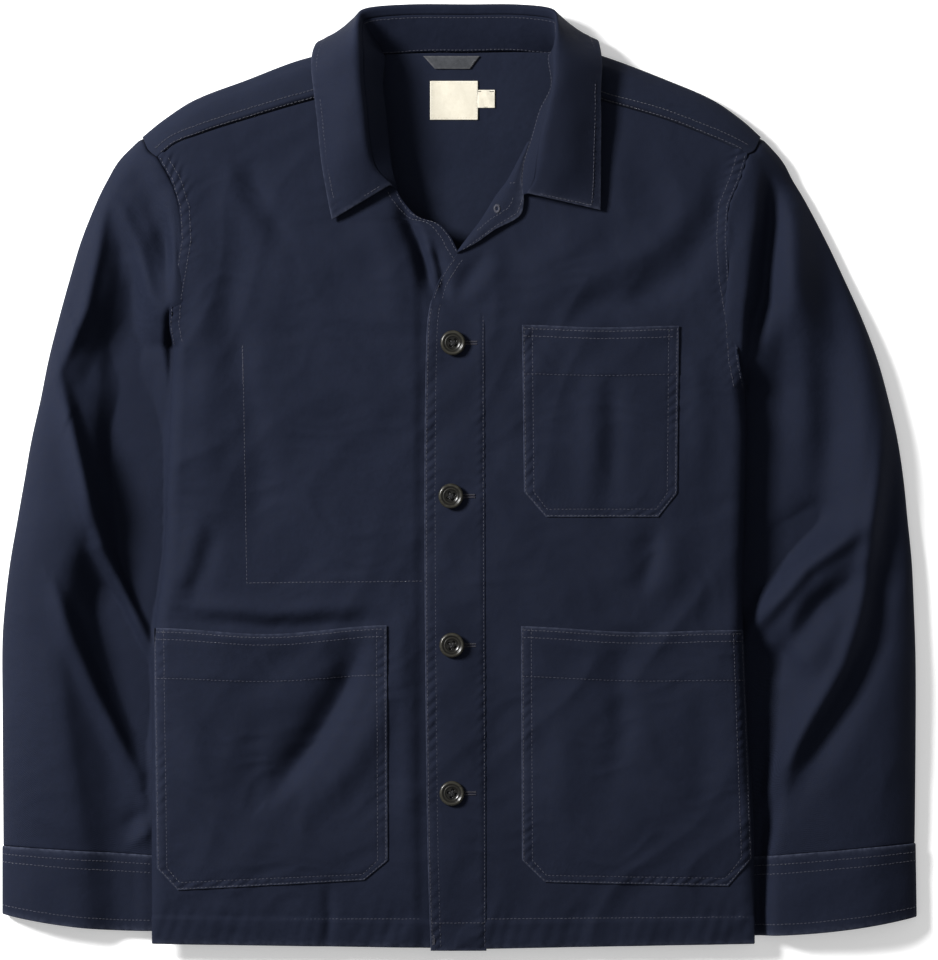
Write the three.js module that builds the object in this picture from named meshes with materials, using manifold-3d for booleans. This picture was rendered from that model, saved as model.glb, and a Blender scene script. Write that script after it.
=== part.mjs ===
// Chore jacket, buttoned and laid flat on its back. Millimetres, +X to the viewer's right,
// +Y toward the collar, +Z up, the floor at Z = 0. Left and right are the viewer's.
//
// Each piece of cloth is a sheet of points, with a normal at each, that gets its wall from both sides.
// Sheets that are sewn together share the points of their seam, and each is then cut back by half a gap.

import * as THREE from 'three';
import { mergeVertices } from 'three/addons/utils/BufferGeometryUtils.js';
import Module from 'manifold-3d';

const wasm = await Module();
wasm.setup();

// Driving sizes
const CLOTH = 1.2; // wall of the twill
const DOUBLE = 2.0; // wall of the cuffs and collar, which are two layers
const TRIM = 1.0; // wall of the label, tag and loop
const GAP = 0.3; // between pieces
const SEAM_CUT = 0.2; // what each sheet loses along its edges, a little over half a gap
const CURVED_SEAM_CUT = 0.35; // the same where the seam bends sharply, as at the armholes and neck
const FLOOR_CLOTH = CLOTH / 2; // middle of a single layer that lies on the floor
const FLOOR_DOUBLE = DOUBLE / 2;
const BUTTON_DIAMETER = 20;
const BUTTON_THICKNESS = 3.6;

const INK = { color: 0x23263a, roughness: 0.92 };
const CHARCOAL = { color: 0x55565c, roughness: 0.9 };
const CREAM = { color: 0xe4dfd2, roughness: 0.85 };
const HORN = { color: 0x1c1815, roughness: 0.35 };

const table = (columns, rows) =>
  rows.map((row) => Object.fromEntries(columns.map((name, place) => [name, row[place]])));

// Outline of the body: side seam up to the armpit, then the armhole up to the shoulder seam
const LEFT_SIDE = table(['y', 'x'], [
  [-374, -245.6], [-259, -246], [-179, -245.2], [-119, -242.8], [-55, -235.6], [-15, -234],
  [55, -230.8], [105.2, -229.2], [121, -231.8], [141, -230.8], [165, -226.8], [189, -222.8],
  [216, -224.4], [237, -230.8], [255, -241.2],
]);
const RIGHT_SIDE = table(['y', 'x'], [
  [-374, 235.9], [-271, 234.8], [-201, 230.4], [-140, 227.6], [-102, 226], [-32, 227.6],
  [37, 229], [71.6, 227.6], [92.4, 223.6], [126, 221], [157, 215.8], [191.6, 214],
  [217, 215.6], [238, 224.4], [258, 230.5],
]);

// Inner edge of each front, from the hem to the shoulder seam. The lower front runs straight up under the
// upper one, shows from its fold down to its corner, and then follows the neck seam. The upper front
// follows its own edge, then the roll where its corner turns back, and then the neck seam.
const LEFT_EDGE = table(['y', 'x'], [
  [-378, 14.8], [125, 14.8], [165, 8.4], [182.8, -2.4], [193, -8], [203, -18], [206, -29.2],
  [212.4, -38.8], [229.2, -50], [250, -54], [272, -56.7], [292, -58.7], [313, -61],
]);
const RIGHT_EDGE = table(['y', 'x'], [
  [-379, -22.8], [-298.8, -25.2], [-178.8, -26.8], [-66.8, -27.6], [21, -27.6], [101, -26.4],
  [128.4, -24.8], [150, -19.5], [166.3, -10.8], [178, -2], [189, 7], [201, 17],
  [213, 25], [225, 32], [236, 40], [251, 47.5], [270, 56.4], [292, 64.4], [312, 74],
]);

// Rows of each front from hem to shoulder seam: height of the row at the side and at the inner edge
const ARMPIT_ROW = { left: 14, right: 13 };
const FAN_ROW = 16; // above it the rows spread out toward the shoulder seam
const LAST_ROW = 27;
const LEFT_ROWS = table(['outer', 'inner'], [
  [-374, -378], [-350, -354], [-331, -319.6], [-313.2, -304], [-262, -260], [-214, -214],
  [-167, -167], [-121.2, -118], [-98, -98], [-65, -65], [-32, -32], [-5, -5], [30, 30],
  [71.6, 71.6], [105.2, 105.2], [125, 125], [150, 150], [160, 161], [170, 172], [180, 182.8],
  [190, 193], [200, 203], [210, 212.4], [219, 229.2], [228, 250], [237, 272], [246, 292],
  [255, 313],
]);
const RIGHT_ROWS = table(['outer', 'inner'], [
  [-374, -379], [-350, -354.5], [-328, -322.5], [-305, -307.5], [-262, -262], [-214, -214],
  [-167, -167], [-122.8, -118.2], [-98, -98], [-65, -65], [-32.4, -32.4], [-13, -13], [35, 35],
  [71.6, 71.6], [95, 95], [121, 121], [150, 150], [160, 166], [170, 178], [180, 189],
  [190, 201], [200, 213], [210, 225], [220, 236], [230, 251], [240, 270], [249, 292],
  [258, 312],
]);

// Columns of a front as shares of its width, from the side seam to the inner edge
const FRONT_COLUMNS = [
  0, 0.02, 0.09, 0.145, 0.2, 0.26, 0.35, 0.45, 0.55, 0.64, 0.7, 0.757, 0.814, 0.87, 0.935, 1,
];
const BACK_COLUMNS = [0, 0.03, 0.11, 0.2, 0.3, 0.45, 0.7, 1]; // from a side seam to the neck
const NECK_COLUMNS = 4;
// Where the columns that end at the neck stand across the back
const NECK_SHARES = { left: 0.38, right: 0.66 };

// Shoulder: the fold at the very edge, and the seam that lies forward of it on top
const SHOULDER = {
  left: {
    fold: table(['share', 'x', 'y'], [
      [0, -254, 271.6], [0.09, -237.2, 285.2], [0.22, -212.4, 301.2], [0.445, -170.8, 317.2],
      [0.67, -128.4, 333.2], [0.87, -91.6, 341.5], [1, -64.5, 344.5],
    ]),
    seam: table(['share', 'x', 'y'], [
      [0, -241.2, 255], [0.074, -227.6, 266], [0.168, -210.8, 272.5], [0.326, -182.3, 282],
      [0.69, -116.6, 301.2], [1, -61, 313],
    ]),
  },
  right: {
    fold: table(['share', 'x', 'y'], [
      [0, 241.2, 271.6], [0.09, 226, 285.2], [0.22, 202.8, 301.2], [0.445, 166, 317.2],
      [0.67, 124.4, 333.2], [0.87, 97, 341.5], [1, 77, 344.5],
    ]),
    seam: table(['share', 'x', 'y'], [
      [0, 230.5, 258], [0.18, 202, 270.8], [0.42, 164.2, 285.5], [0.72, 117.6, 299.3], [1, 74, 312],
    ]),
  },
};
// The strip that wraps over the shoulder: how far each of its rows lies inside the fold, and its height
const STRIP = table(['inset', 'z'], [[7, FLOOR_CLOTH], [0, 8.5], [5, 15], [12, 19]]);
const STRIP_LEAN = { x: 0.45, y: -0.89 }; // direction across the strip, on the left shoulder
const SHOULDER_SEAM_Z = 22;
const NECK = table(['share', 'x', 'y'], [
  [0, -59, 338.5], [0.25, -27, 339.6], [0.5, 7, 339.6], [0.75, 41, 340.3], [1, 72.5, 340],
]);

// Heights of the upper layer, and of the back where the sleeves lie under it
const FRONT_HEIGHT = table(['y', 'z'], [[-378, 17], [-340, 21.5], [-290, 25.5], [-150, 27], [150, 27]]);
const SIDE_ROUNDING = 16; // how far in from the side the front rounds over
const ARMPIT_ROUNDING = 22;
const ARMPIT_LIFT = 6.5;
const SIDE_LIFT = 14; // underside of the body above the floor where a sleeve passes below it
const SIDE_LIFT_REACH = 45; // how far below the armpit the full lift is reached
const SIDE_LIFT_FADE = { from: 20, to: 52 }; // distances in from the side between which the lift ends
const SEAM_RISE = 2; // side seam above the flat underside next to it
const SEAM_RISE_WIDTH = 5;
const NECK_LIFT = 3; // the back lies on the turned-under leaf of the collar
const NECK_LIFT_RAMP = { fromY: 235, toY: 280, middleX: 7, fullHalfWidth: 116, endHalfWidth: 132 };
const UNDERLAP_DROP = 3.4; // the lower front under the upper one
const UNDERLAP_START = { from: -52, to: -34 };

// Largest folds, each a soft ridge (or trough, where the height is negative) along a line
const FOLD_COLUMNS = ['fromX', 'fromY', 'toX', 'toY', 'width', 'height'];
const FRONT_FOLDS = table(FOLD_COLUMNS, [
  [-200, 237, -184, 117, 17, 3.5],
  [-184, 117, -172, 21, 17, 3],
  [-176, 261, -144, 189, 13, -2.5],
  [-72, -131, -120, -243, 17, -2.5],
  [-53, 219, -32, 165, 9, -5],
  [192, 209, 128, 149, 15, -3],
  [184, 190, 84, 136, 13, 2.5],
  [152, -43, 144, -91, 13, -2.5],
]);
const LEFT_SLEEVE_FOLDS = table(FOLD_COLUMNS, [
  [-280, 225, -240, 133, 14, 2.5],
  [-284, 221, -288, 117, 13, -2.5],
  [-320, 85, -288, -3, 13, -4.5],
  [-288, -3, -248, -99, 13, -4.5],
  [-308, -63, -256, -131, 19, 3.5],
  [-318, -99, -264, -235, 13, -4.5],
]);
const RIGHT_SLEEVE_FOLDS = table(FOLD_COLUMNS, [
  [312, -43, 256, -99, 15, 4],
  [320, -67, 264, -131, 13, -4],
  [320, -107, 256, -227, 18, 3.5],
  [348, 29, 328, -99, 12, -3.5],
]);

// Sleeves: the outer silhouette from the cuff up to the shoulder tip
const LEFT_SLEEVE_EDGE = table(['y', 'x'], [
  [-297, -365.2], [-179, -366], [-131, -366], [-99, -363.6], [-67, -359.6], [-35, -354],
  [-3, -348.4], [29, -342.8], [61, -335.6], [93, -329.2], [125, -321.2], [157, -312.4],
  [189, -302.8], [221, -290], [237, -282], [253, -272.4], [271.6, -254],
]);
const RIGHT_SLEEVE_EDGE = table(['y', 'x'], [
  [-295, 364.4], [-211, 365.2], [-147, 365.2], [-99, 363.6], [-67, 362], [-35, 358.8],
  [-3, 355.6], [29, 350.8], [61, 343.6], [93, 334.8], [125, 322.8], [157, 308.4],
  [189, 293.2], [221, 276.4], [237, 266.8], [253, 258], [271.6, 241.2],
]);
const SLEEVE_ROWS = [0, 0.03, 0.07, 0.12, 0.18, 0.25, 0.33, 0.41, 0.5, 0.59, 0.68, 0.77, 0.86, 0.94, 1];
const CROWN = table(['along', 'z'], [[0, 27], [0.15, 31], [0.5, 30], [0.85, 27], [1, 22]]);
const SLEEVE_FOLD_Z = { outer: 7, inner: 4.5 };
const UNDER_CLEARANCE = 3.6; // upper layer of the sleeve below the flat underside of the body
const BESIDE_BODY = { start: 3, slope: 0.55, blend: 1.5 }; // how the sleeve swells again beside the body
const ABOVE_ARMPIT_SLOPE = 0.8; // and above the armpit
const LEAST_HOLLOW = 2; // between the upper and lower layers
const BOTTOM_ROUNDING = { height: 5, share: 0.04 }; // where the lower layer rises to a fold
const DOME = { edge: 3, crown: 0.6 }; // powers that shape the section of a sleeve
const UNDER_BODY = 22; // how far the sleeve passes in under the body
const UNDERARM_GAP = 4; // how far it first stands off the body below the armpit
const UNDERARM_REACH = { gap: 12, from: 25, to: 95 }; // distances below the armpit
// Shares of the sleeve's length, at its outer fold and at its inner one, over which the armhole's shape
// fades into the sleeve's
const OUTLINE_FADE = { outer: 0.3, inner: 0.07, power: 4 };
const HEIGHT_FADE = { outer: 0.12, inner: 0.03, power: 6 };
const ARMPIT_RELIEF = { out: 2.6, down: 1.5, reach: 42 };
const CUFFS = {
  left: { top: { outer: -297, inner: -306 }, bottom: { outer: -350.8, inner: -363.6 }, outerX: -365.2 },
  right: { top: { outer: -295, inner: -308 }, bottom: { outer: -353, inner: -367.6 }, outerX: 365.2 },
};
const CUFF_SAG = 5; // how far the cuff's lower edge bows down
const CUFF_ROWS = [0, 0.35, 0.7, 1];

// The turned-back corner of the upper front: where its edge lies on each row, and how high it stands
const TURN_FIRST_ROW = 18;
const TURN = table(['x', 'y', 'rise'], [
  [0, 179.5, 2.2], [14.8, 187.6, 3.8], [28.4, 197.2, 5.2], [48.4, 208.4, 5.2],
  [51.6, 225.2, 5.2], [49.8, 236.4, 4.6], [51.5, 251.6, 3.4], [58.2, 270.8, 2.4],
]);

// Collar, a row for each point of the neck seam, from the left front over the back to the right front:
// the roll, the edge of the leaf, and how far the leaf is turned under the back
const LEFT_COLLAR_ROW = 23;
const RIGHT_COLLAR_ROW = 22;
const COLLAR = table(['rollX', 'rollY', 'rollZ', 'edgeX', 'edgeY', 'edgeZ', 'under'], [
  [-55, 233, 32, -102.8, 204.4, 28.5, 0],
  [-70.5, 247, 38, -106, 222, 29, 0],
  [-76, 270, 44, -111, 252, 29, 0],
  [-78, 293, 46, -114, 282, 30, 0],
  [-80.5, 316, 46, -117, 308, 30, 0],
  [-81.5, 335, 44, -119, 327, 28, 0],
  [-81.5, 349, 39, -118, 340.5, 20, 0.2],
  [-79.5, 361, 32, -113, 347.5, 9, 0.6],
  [-73, 370, 25, -99, 342, 1.2, 1],
  [-42, 376, 17, -45, 329, FLOOR_DOUBLE, 1],
  [7, 377.4, 15, 3, 326, FLOOR_DOUBLE, 1],
  [47, 376, 17, 46, 329, FLOOR_DOUBLE, 1],
  [71, 371, 25, 101, 342, 1.2, 1],
  [76, 362, 32, 111, 348.5, 9, 0.6],
  [77, 350, 39, 113.5, 341.5, 20, 0.2],
  [76, 336, 44, 114.5, 328, 29, 0],
  [75.5, 316, 47, 113.5, 308, 32, 0],
  [71.5, 294, 47, 114, 287, 32, 0],
  [67, 272, 46, 114, 262, 31, 0],
  [65, 252, 43, 114, 244, 30.5, 0],
  [62.5, 237, 38, 114, 228, 30, 0],
  [55, 226, 34, 114, 212.4, 29.5, 0],
]);
const STAND_SHARE = 0.7; // the leaf is sewn to the stand this far up toward the roll
const STAND_STEPS = [0, 0.35, 0.7];
const LEAF_STEPS = [0.7, 0.86, 1, 1.14, 1.32, 1.52, 1.76, 2]; // past 1 they go from the roll to the edge
const STAND_BOW = 1.5;
const LEAF_OVER = { roll: 0.35, rollRise: 1.5, edge: 0.7, edgeRise: 1 };
const LEAF_UNDER = { out: 1, down: 0.3, edge: 0.2 };

// Trim and buttons
const BUTTONS = table(['x', 'y'], [[-5.2, 106.8], [-6.8, -15.6], [-6, -134.8], [-6, -253.2]]);
const PLACKET_COLUMN = 12;
// Pockets take a block of their front's cells; their two lower corners are clipped
const LOWER_POCKET = { rows: [2, 7], columns: [0, 10], clipped: true };
const CHEST_POCKET = { rows: [10, 15], columns: [4, 10], clipped: true };
const LABEL = { left: -24.4, right: 13.6, top: 317, bottom: 286 };
const SIZE_TAG = { left: 13.9, right: 28.4, top: 310, bottom: 295.6 };
const LOOP = {
  top: 337.6, bottom: 326.8, topLeft: -29.2, topRight: 16.4, bottomLeft: -19.6, bottomRight: 8.4,
};

// Small mathematics
const lerp = (from, to, share) => from + (to - from) * share;
const clamp = (value) => Math.min(Math.max(value, 0), 1);
const smooth = (from, to, value) => {
  const share = clamp((value - from) / (to - from));
  return share * share * (3 - 2 * share);
};
const quarterRound = (share) => Math.sqrt(1 - (1 - clamp(share)) ** 2);
const softMin = (a, b, blend) => (a + b - Math.sqrt((a - b) ** 2 + blend * blend)) / 2;
const vector = (x, y, z) => new THREE.Vector3(x, y, z);

// Straight lines through a table's points
function polyline(rows, along, value) {
  return (position) => {
    let next = rows.findIndex((row) => row[along] >= position);
    if (next < 0) next = rows.length - 1;
    next = Math.max(next, 1);
    const from = rows[next - 1];
    const to = rows[next];
    return lerp(from[value], to[value], clamp((position - from[along]) / (to[along] - from[along])));
  };
}

// A smooth curve through a table's points, with the slope at each taken from its two neighbours
function curve(rows, along, value) {
  const slope = rows.map((_, place) => {
    const before = rows[Math.max(place - 1, 0)];
    const after = rows[Math.min(place + 1, rows.length - 1)];
    return (after[value] - before[value]) / (after[along] - before[along]);
  });
  return (position) => {
    let next = rows.findIndex((row) => row[along] >= position);
    if (next < 0) next = rows.length - 1;
    next = Math.max(next, 1);
    const from = rows[next - 1];
    const to = rows[next];
    const span = to[along] - from[along];
    const t = clamp((position - from[along]) / span);
    return (2 * t ** 3 - 3 * t ** 2 + 1) * from[value] + (t ** 3 - 2 * t ** 2 + t) * span * slope[next - 1]
      + (3 * t ** 2 - 2 * t ** 3) * to[value] + (t ** 3 - t ** 2) * span * slope[next];
  };
}

// Height that the folds add at a place: each falls off across its line, and past its ends
function foldHeight(folds, x, y) {
  return folds.reduce((sum, fold) => {
    const alongX = fold.toX - fold.fromX;
    const alongY = fold.toY - fold.fromY;
    const along = (x - fold.fromX) * alongX + (y - fold.fromY) * alongY;
    const share = clamp(along / (alongX ** 2 + alongY ** 2));
    const distance = Math.hypot(x - fold.fromX - share * alongX, y - fold.fromY - share * alongY);
    return sum + fold.height * Math.exp(-((distance / fold.width) ** 2));
  }, 0);
}

// Sheets of points

// A grid of points with the triangles between them. A cell is left out where covers() says so.
function sheet(rowCount, columnCount, at, { flip = false, ring = false, covers = () => true } = {}) {
  const points = [];
  for (let row = 0; row < rowCount; row += 1) {
    for (let column = 0; column < columnCount; column += 1) points.push(at(row, column));
  }
  const cells = [];
  const lastColumn = ring ? columnCount : columnCount - 1;
  for (let row = 0; row < rowCount - 1; row += 1) {
    for (let column = 0; column < lastColumn; column += 1) {
      if (!covers(row, column)) continue;
      const next = (column + 1) % columnCount;
      const corners = [
        row * columnCount + column, row * columnCount + next,
        (row + 1) * columnCount + next, (row + 1) * columnCount + column,
      ];
      if (flip) corners.reverse();
      const [a, b, c, d] = corners;
      cells.push({ row, column, triangles: [[a, b, c], [a, c, d]] });
    }
  }
  const triangles = cells.flatMap((cell) => cell.triangles);
  return { points, cells, columnCount, flip, triangles, normals: vertexNormals(points, triangles) };
}

function vertexNormals(points, triangles) {
  const normals = points.map(() => vector(0, 0, 0));
  for (const [a, b, c] of triangles) {
    const face = points[b].clone().sub(points[a]).cross(points[c].clone().sub(points[a]));
    for (const corner of [a, b, c]) normals[corner].add(face);
  }
  return normals.map((normal) => normal.normalize());
}

// Sheets that meet at a point get the same normal there, so their walls end on the same plane
function shareNormals(sheets) {
  const meeting = new Map();
  for (const piece of sheets) {
    const used = new Set(piece.triangles.flat());
    for (const place of used) {
      const key = piece.points[place].toArray().map((value) => Math.round(value * 100)).join();
      if (!meeting.has(key)) meeting.set(key, []);
      meeting.get(key).push({ piece, place });
    }
  }
  for (const group of meeting.values()) {
    const total = group.reduce((sum, { piece, place }) => sum.add(piece.normals[place]), vector(0, 0, 0));
    total.normalize();
    for (const { piece, place } of group) piece.normals[place] = total.clone();
  }
}

// Directed edges that only one triangle uses
function borderOf(triangles) {
  const edges = new Map();
  for (const [a, b, c] of triangles) {
    for (const [from, to] of [[a, b], [b, c], [c, a]]) edges.set(`${from}_${to}`, [from, to]);
  }
  return [...edges.values()].filter(([from, to]) => !edges.has(`${to}_${from}`));
}

// Moves the border of a sheet inward, at right angles to itself and to the normal
function cutBack(points, normals, triangles, amount) {
  const moved = points.map((point) => point.clone());
  const inward = new Map();
  for (const [from, to] of borderOf(triangles)) {
    const along = points[to].clone().sub(points[from]).normalize();
    for (const place of [from, to]) {
      if (!inward.has(place)) inward.set(place, vector(0, 0, 0));
      inward.get(place).add(normals[place].clone().cross(along).normalize());
    }
  }
  for (const [place, direction] of inward) moved[place].addScaledVector(direction.normalize(), amount);
  return moved;
}

// The closed wall between two offsets of a sheet, or of some of its triangles
function wall(piece, from, to, triangles = piece.triangles, cut = SEAM_CUT) {
  const points = cutBack(piece.points, piece.normals, triangles, cut);
  const used = [...new Set(triangles.flat())];
  const place = new Map(used.map((corner, index) => [corner, index]));
  const positions = [];
  for (const offset of [to, from]) {
    for (const corner of used) {
      positions.push(...points[corner].clone().addScaledVector(piece.normals[corner], offset).toArray());
    }
  }
  const faces = [];
  for (const [a, b, c] of triangles) {
    faces.push(place.get(a), place.get(b), place.get(c));
    faces.push(place.get(c) + used.length, place.get(b) + used.length, place.get(a) + used.length);
  }
  for (const [start, end] of borderOf(triangles)) {
    const [a, b] = [place.get(start), place.get(end)];
    const [c, d] = [b + used.length, a + used.length];
    faces.push(d, c, b, d, b, a);
  }
  const geometry = new THREE.BufferGeometry();
  geometry.setAttribute('position', new THREE.Float32BufferAttribute(positions, 3));
  geometry.setIndex(faces);
  return geometry;
}

// Triangles of a block of a sheet's cells, with its two lower corners cut off at a slant if it is clipped
function block(piece, { rows, columns, clipped = false }) {
  const stride = piece.columnCount;
  const outerClip = Math.max(columns[0], 1);
  const within = (value, [from, to]) => value >= from && value < to;
  const inside = ({ row, column }) => within(row, rows) && within(column, columns);
  return piece.cells.filter(inside).flatMap(({ row, column, triangles }) => {
    const first = row * stride + column;
    const above = first + stride;
    if (!clipped || row > rows[0]) return triangles;
    if (column < outerClip) return [];
    if (column === outerClip) return [orient(piece, [first + 1, above + 1, above])];
    if (column === columns[1] - 1) return [orient(piece, [first, above + 1, above])];
    return triangles;
  });
}

const orient = (piece, triangle) => (piece.flip ? triangle.reverse() : triangle);

// The body's two sides
const sides = {
  left: {
    sign: -1, outerX: curve(LEFT_SIDE, 'y', 'x'), innerX: polyline(LEFT_EDGE, 'y', 'x'), rows: LEFT_ROWS,
    armpit: LEFT_ROWS[ARMPIT_ROW.left].outer, armpitRow: ARMPIT_ROW.left, ...SHOULDER.left,
    anchor: { share: 0.7, x: -57.5 },
  },
  right: {
    sign: 1, outerX: curve(RIGHT_SIDE, 'y', 'x'), innerX: polyline(RIGHT_EDGE, 'y', 'x'), rows: RIGHT_ROWS,
    armpit: RIGHT_ROWS[ARMPIT_ROW.right].outer, armpitRow: ARMPIT_ROW.right, ...SHOULDER.right,
    anchor: { share: 0.814, x: 20.4 },
  },
};

const frontHeight = polyline(FRONT_HEIGHT, 'y', 'z');
const sideLift = (side, y) => {
  const below = side.armpit - y;
  if (below < 0) return ARMPIT_LIFT * (1 - smooth(0, ARMPIT_ROUNDING, -below));
  return lerp(ARMPIT_LIFT, SIDE_LIFT, 1 - (1 - clamp(below / SIDE_LIFT_REACH)) ** 2);
};
const seamRise = (side, y) => SEAM_RISE * (1 - smooth(0, ARMPIT_ROUNDING, y - side.armpit));
const seamHeight = (side, y) => FLOOR_CLOTH + sideLift(side, y) + seamRise(side, y);

// Shoulder seam at a share of its length, straight between the columns of the back
function shoulderSeam(side, share) {
  const next = Math.max(BACK_COLUMNS.findIndex((column) => column >= share), 1);
  const [from, to] = [BACK_COLUMNS[next - 1], BACK_COLUMNS[next]];
  const part = (share - from) / (to - from);
  const at = (column, value) => curve(side.seam, 'share', value)(column);
  return { x: lerp(at(from, 'x'), at(to, 'x'), part), y: lerp(at(from, 'y'), at(to, 'y'), part) };
}

function frontPoint(side, row, share) {
  const { outer, inner } = side.rows[row];
  const outerX = side.outerX(outer);
  const innerX = side.innerX(inner);
  const fan = clamp((row - FAN_ROW) / (LAST_ROW - FAN_ROW));
  let x = lerp(outerX, innerX, share);
  let y = lerp(outer, inner, share);
  const straight = 1 - smooth(FAN_ROW - 2, FAN_ROW, row);
  const tent = share < side.anchor.share ? share / side.anchor.share : (1 - share) / (1 - side.anchor.share);
  x += tent * straight * (side.anchor.x - lerp(outerX, innerX, side.anchor.share));
  const seam = shoulderSeam(side, share);
  const last = side.rows[LAST_ROW];
  x += fan ** 2 * (seam.x - lerp(side.outerX(last.outer), side.innerX(last.inner), share));
  y += fan ** 2 * (seam.y - lerp(last.outer, last.inner, share));

  const full = lerp(frontHeight(y), SHOULDER_SEAM_Z, fan ** 1.5);
  const rising = quarterRound((y - side.armpit) / ARMPIT_ROUNDING);
  const edge = y < side.armpit ? seamHeight(side, y) : lerp(seamHeight(side, side.armpit), full, rising);
  const rounding = quarterRound(Math.abs(x - side.outerX(y)) / SIDE_ROUNDING);
  let z = lerp(edge, full, share === 0 ? 0 : rounding);
  z += foldHeight(FRONT_FOLDS, x, y) * rounding * (1 - fan ** 3);
  if (side.sign < 0) z -= UNDERLAP_DROP * smooth(UNDERLAP_START.from, UNDERLAP_START.to, x);
  if (side.sign < 0 && row === LAST_ROW) z = SHOULDER_SEAM_Z;
  return vector(x, y, z);
}

// The corner of the upper front turns back around its roll, in three more columns
const TURN_COLUMNS = 3;
const TURN_ROLL = { out: -0.4, up: 0.45 }; // first column, as shares of the rise
const TURN_FLAT = 0.3; // second column, as a share of the reach

function turnedPoint(roll, row, step) {
  const turn = TURN[row - TURN_FIRST_ROW];
  const reach = Math.hypot(turn.x - roll.x, turn.y - roll.y);
  const across = vector((turn.x - roll.x) / reach, (turn.y - roll.y) / reach, 0);
  if (step === 1) {
    const out = roll.clone().addScaledVector(across, turn.rise * TURN_ROLL.out);
    return out.setZ(roll.z + turn.rise * TURN_ROLL.up);
  }
  if (step === 2) return roll.clone().addScaledVector(across, reach * TURN_FLAT).setZ(roll.z + turn.rise);
  return vector(turn.x, turn.y, roll.z + turn.rise);
}

// Fronts
const frontColumns = FRONT_COLUMNS.length;
const rowCount = LAST_ROW + 1;
const frontLeft = sheet(rowCount, frontColumns,
  (row, column) => frontPoint(sides.left, row, FRONT_COLUMNS[column]));
const turnLastRow = TURN_FIRST_ROW + TURN.length - 1;
const frontRight = sheet(rowCount, frontColumns + TURN_COLUMNS, (row, column) => {
  if (column < frontColumns) return frontPoint(sides.right, row, FRONT_COLUMNS[column]);
  const turnedRow = Math.min(Math.max(row, TURN_FIRST_ROW), turnLastRow);
  return turnedPoint(frontPoint(sides.right, turnedRow, 1), turnedRow, column - frontColumns + 1);
}, {
  flip: true,
  covers: (row, column) => column < frontColumns - 1 || (row >= TURN_FIRST_ROW && row < turnLastRow),
});

// Back, with the strips that wrap over the shoulders
const backColumns = 2 * BACK_COLUMNS.length - 1 + NECK_COLUMNS - 1;
const neckFirst = BACK_COLUMNS.length - 1;
const neckLast = neckFirst + NECK_COLUMNS;
const STRIP_ROWS = STRIP.length; // rows past the last one of the fronts, the shoulder seam being the last

function shoulderPoint(side, step, share) {
  if (step === STRIP_ROWS) {
    const seam = shoulderSeam(side, share);
    return vector(seam.x, seam.y, SHOULDER_SEAM_Z);
  }
  const { inset, z } = STRIP[step];
  const x = curve(side.fold, 'share', 'x')(share) - side.sign * STRIP_LEAN.x * inset;
  const y = curve(side.fold, 'share', 'y')(share) + STRIP_LEAN.y * inset;
  return vector(x, y, z);
}

function neckLift(x, y) {
  const { fromY, toY, middleX, fullHalfWidth, endHalfWidth } = NECK_LIFT_RAMP;
  return NECK_LIFT * smooth(fromY, toY, y) * (1 - smooth(fullHalfWidth, endHalfWidth, Math.abs(x - middleX)));
}

function backHeight(x, y) {
  const side = x < 0 ? sides.left : sides.right;
  const inward = Math.abs(x - side.outerX(y));
  const lift = sideLift(side, y) * (1 - smooth(SIDE_LIFT_FADE.from, SIDE_LIFT_FADE.to, inward));
  const rise = seamRise(side, y) * (1 - clamp(inward / SEAM_RISE_WIDTH)) ** 2;
  return FLOOR_CLOTH + lift + rise + neckLift(x, y);
}

function backPoint(row, column) {
  const side = column <= (neckFirst + neckLast) / 2 ? sides.left : sides.right;
  const inNeck = column >= neckFirst && column <= neckLast;
  const place = column <= neckFirst ? column : backColumns - 1 - column;
  const share = inNeck ? 1 : BACK_COLUMNS[place];
  if (row >= LAST_ROW && (!inNeck || row > LAST_ROW)) {
    const point = shoulderPoint(side, row - LAST_ROW, share);
    if (row === LAST_ROW) point.z += neckLift(point.x, point.y);
    return point;
  }
  const neckPoint = (neckShare) => ({
    x: curve(NECK, 'share', 'x')(neckShare), y: curve(NECK, 'share', 'y')(neckShare),
  });
  const fan = clamp((row - FAN_ROW) / (LAST_ROW - FAN_ROW));
  const level = (shareAcross) => {
    const low = sides.left.rows[Math.min(row, FAN_ROW)].outer;
    const other = sides.right.rows[Math.min(row, FAN_ROW)].outer;
    return lerp(low, other, shareAcross);
  };
  if (inNeck) {
    const neckShare = (column - neckFirst) / NECK_COLUMNS;
    const top = neckPoint(neckShare);
    const y = lerp(level(lerp(NECK_SHARES.left, NECK_SHARES.right, neckShare)), top.y, fan);
    return vector(top.x, y, backHeight(top.x, y));
  }
  const top = neckPoint(side.sign < 0 ? 0 : 1);
  const { outer } = side.rows[row];
  const innerY = lerp(level(side.sign < 0 ? NECK_SHARES.left : NECK_SHARES.right), top.y, fan);
  const end = shoulderPoint(side, 0, share);
  const tip = shoulderPoint(side, 0, 0);
  let x = lerp(side.outerX(outer), top.x, share);
  let y = lerp(outer, innerY, share);
  x += fan ** 2 * (end.x - lerp(tip.x, top.x, share)) * (share > 0 ? 1 : 0);
  y += fan ** 2 * (end.y - lerp(tip.y, top.y, share)) * (share > 0 ? 1 : 0);
  return vector(x, y, share === 0 ? seamHeight(side, outer) : backHeight(x, y));
}

const back = sheet(LAST_ROW + STRIP_ROWS + 1, backColumns, backPoint, {
  flip: true,
  covers: (row, column) => row < LAST_ROW || column < neckFirst || column >= neckLast,
});

// Sleeves and cuffs

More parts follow.
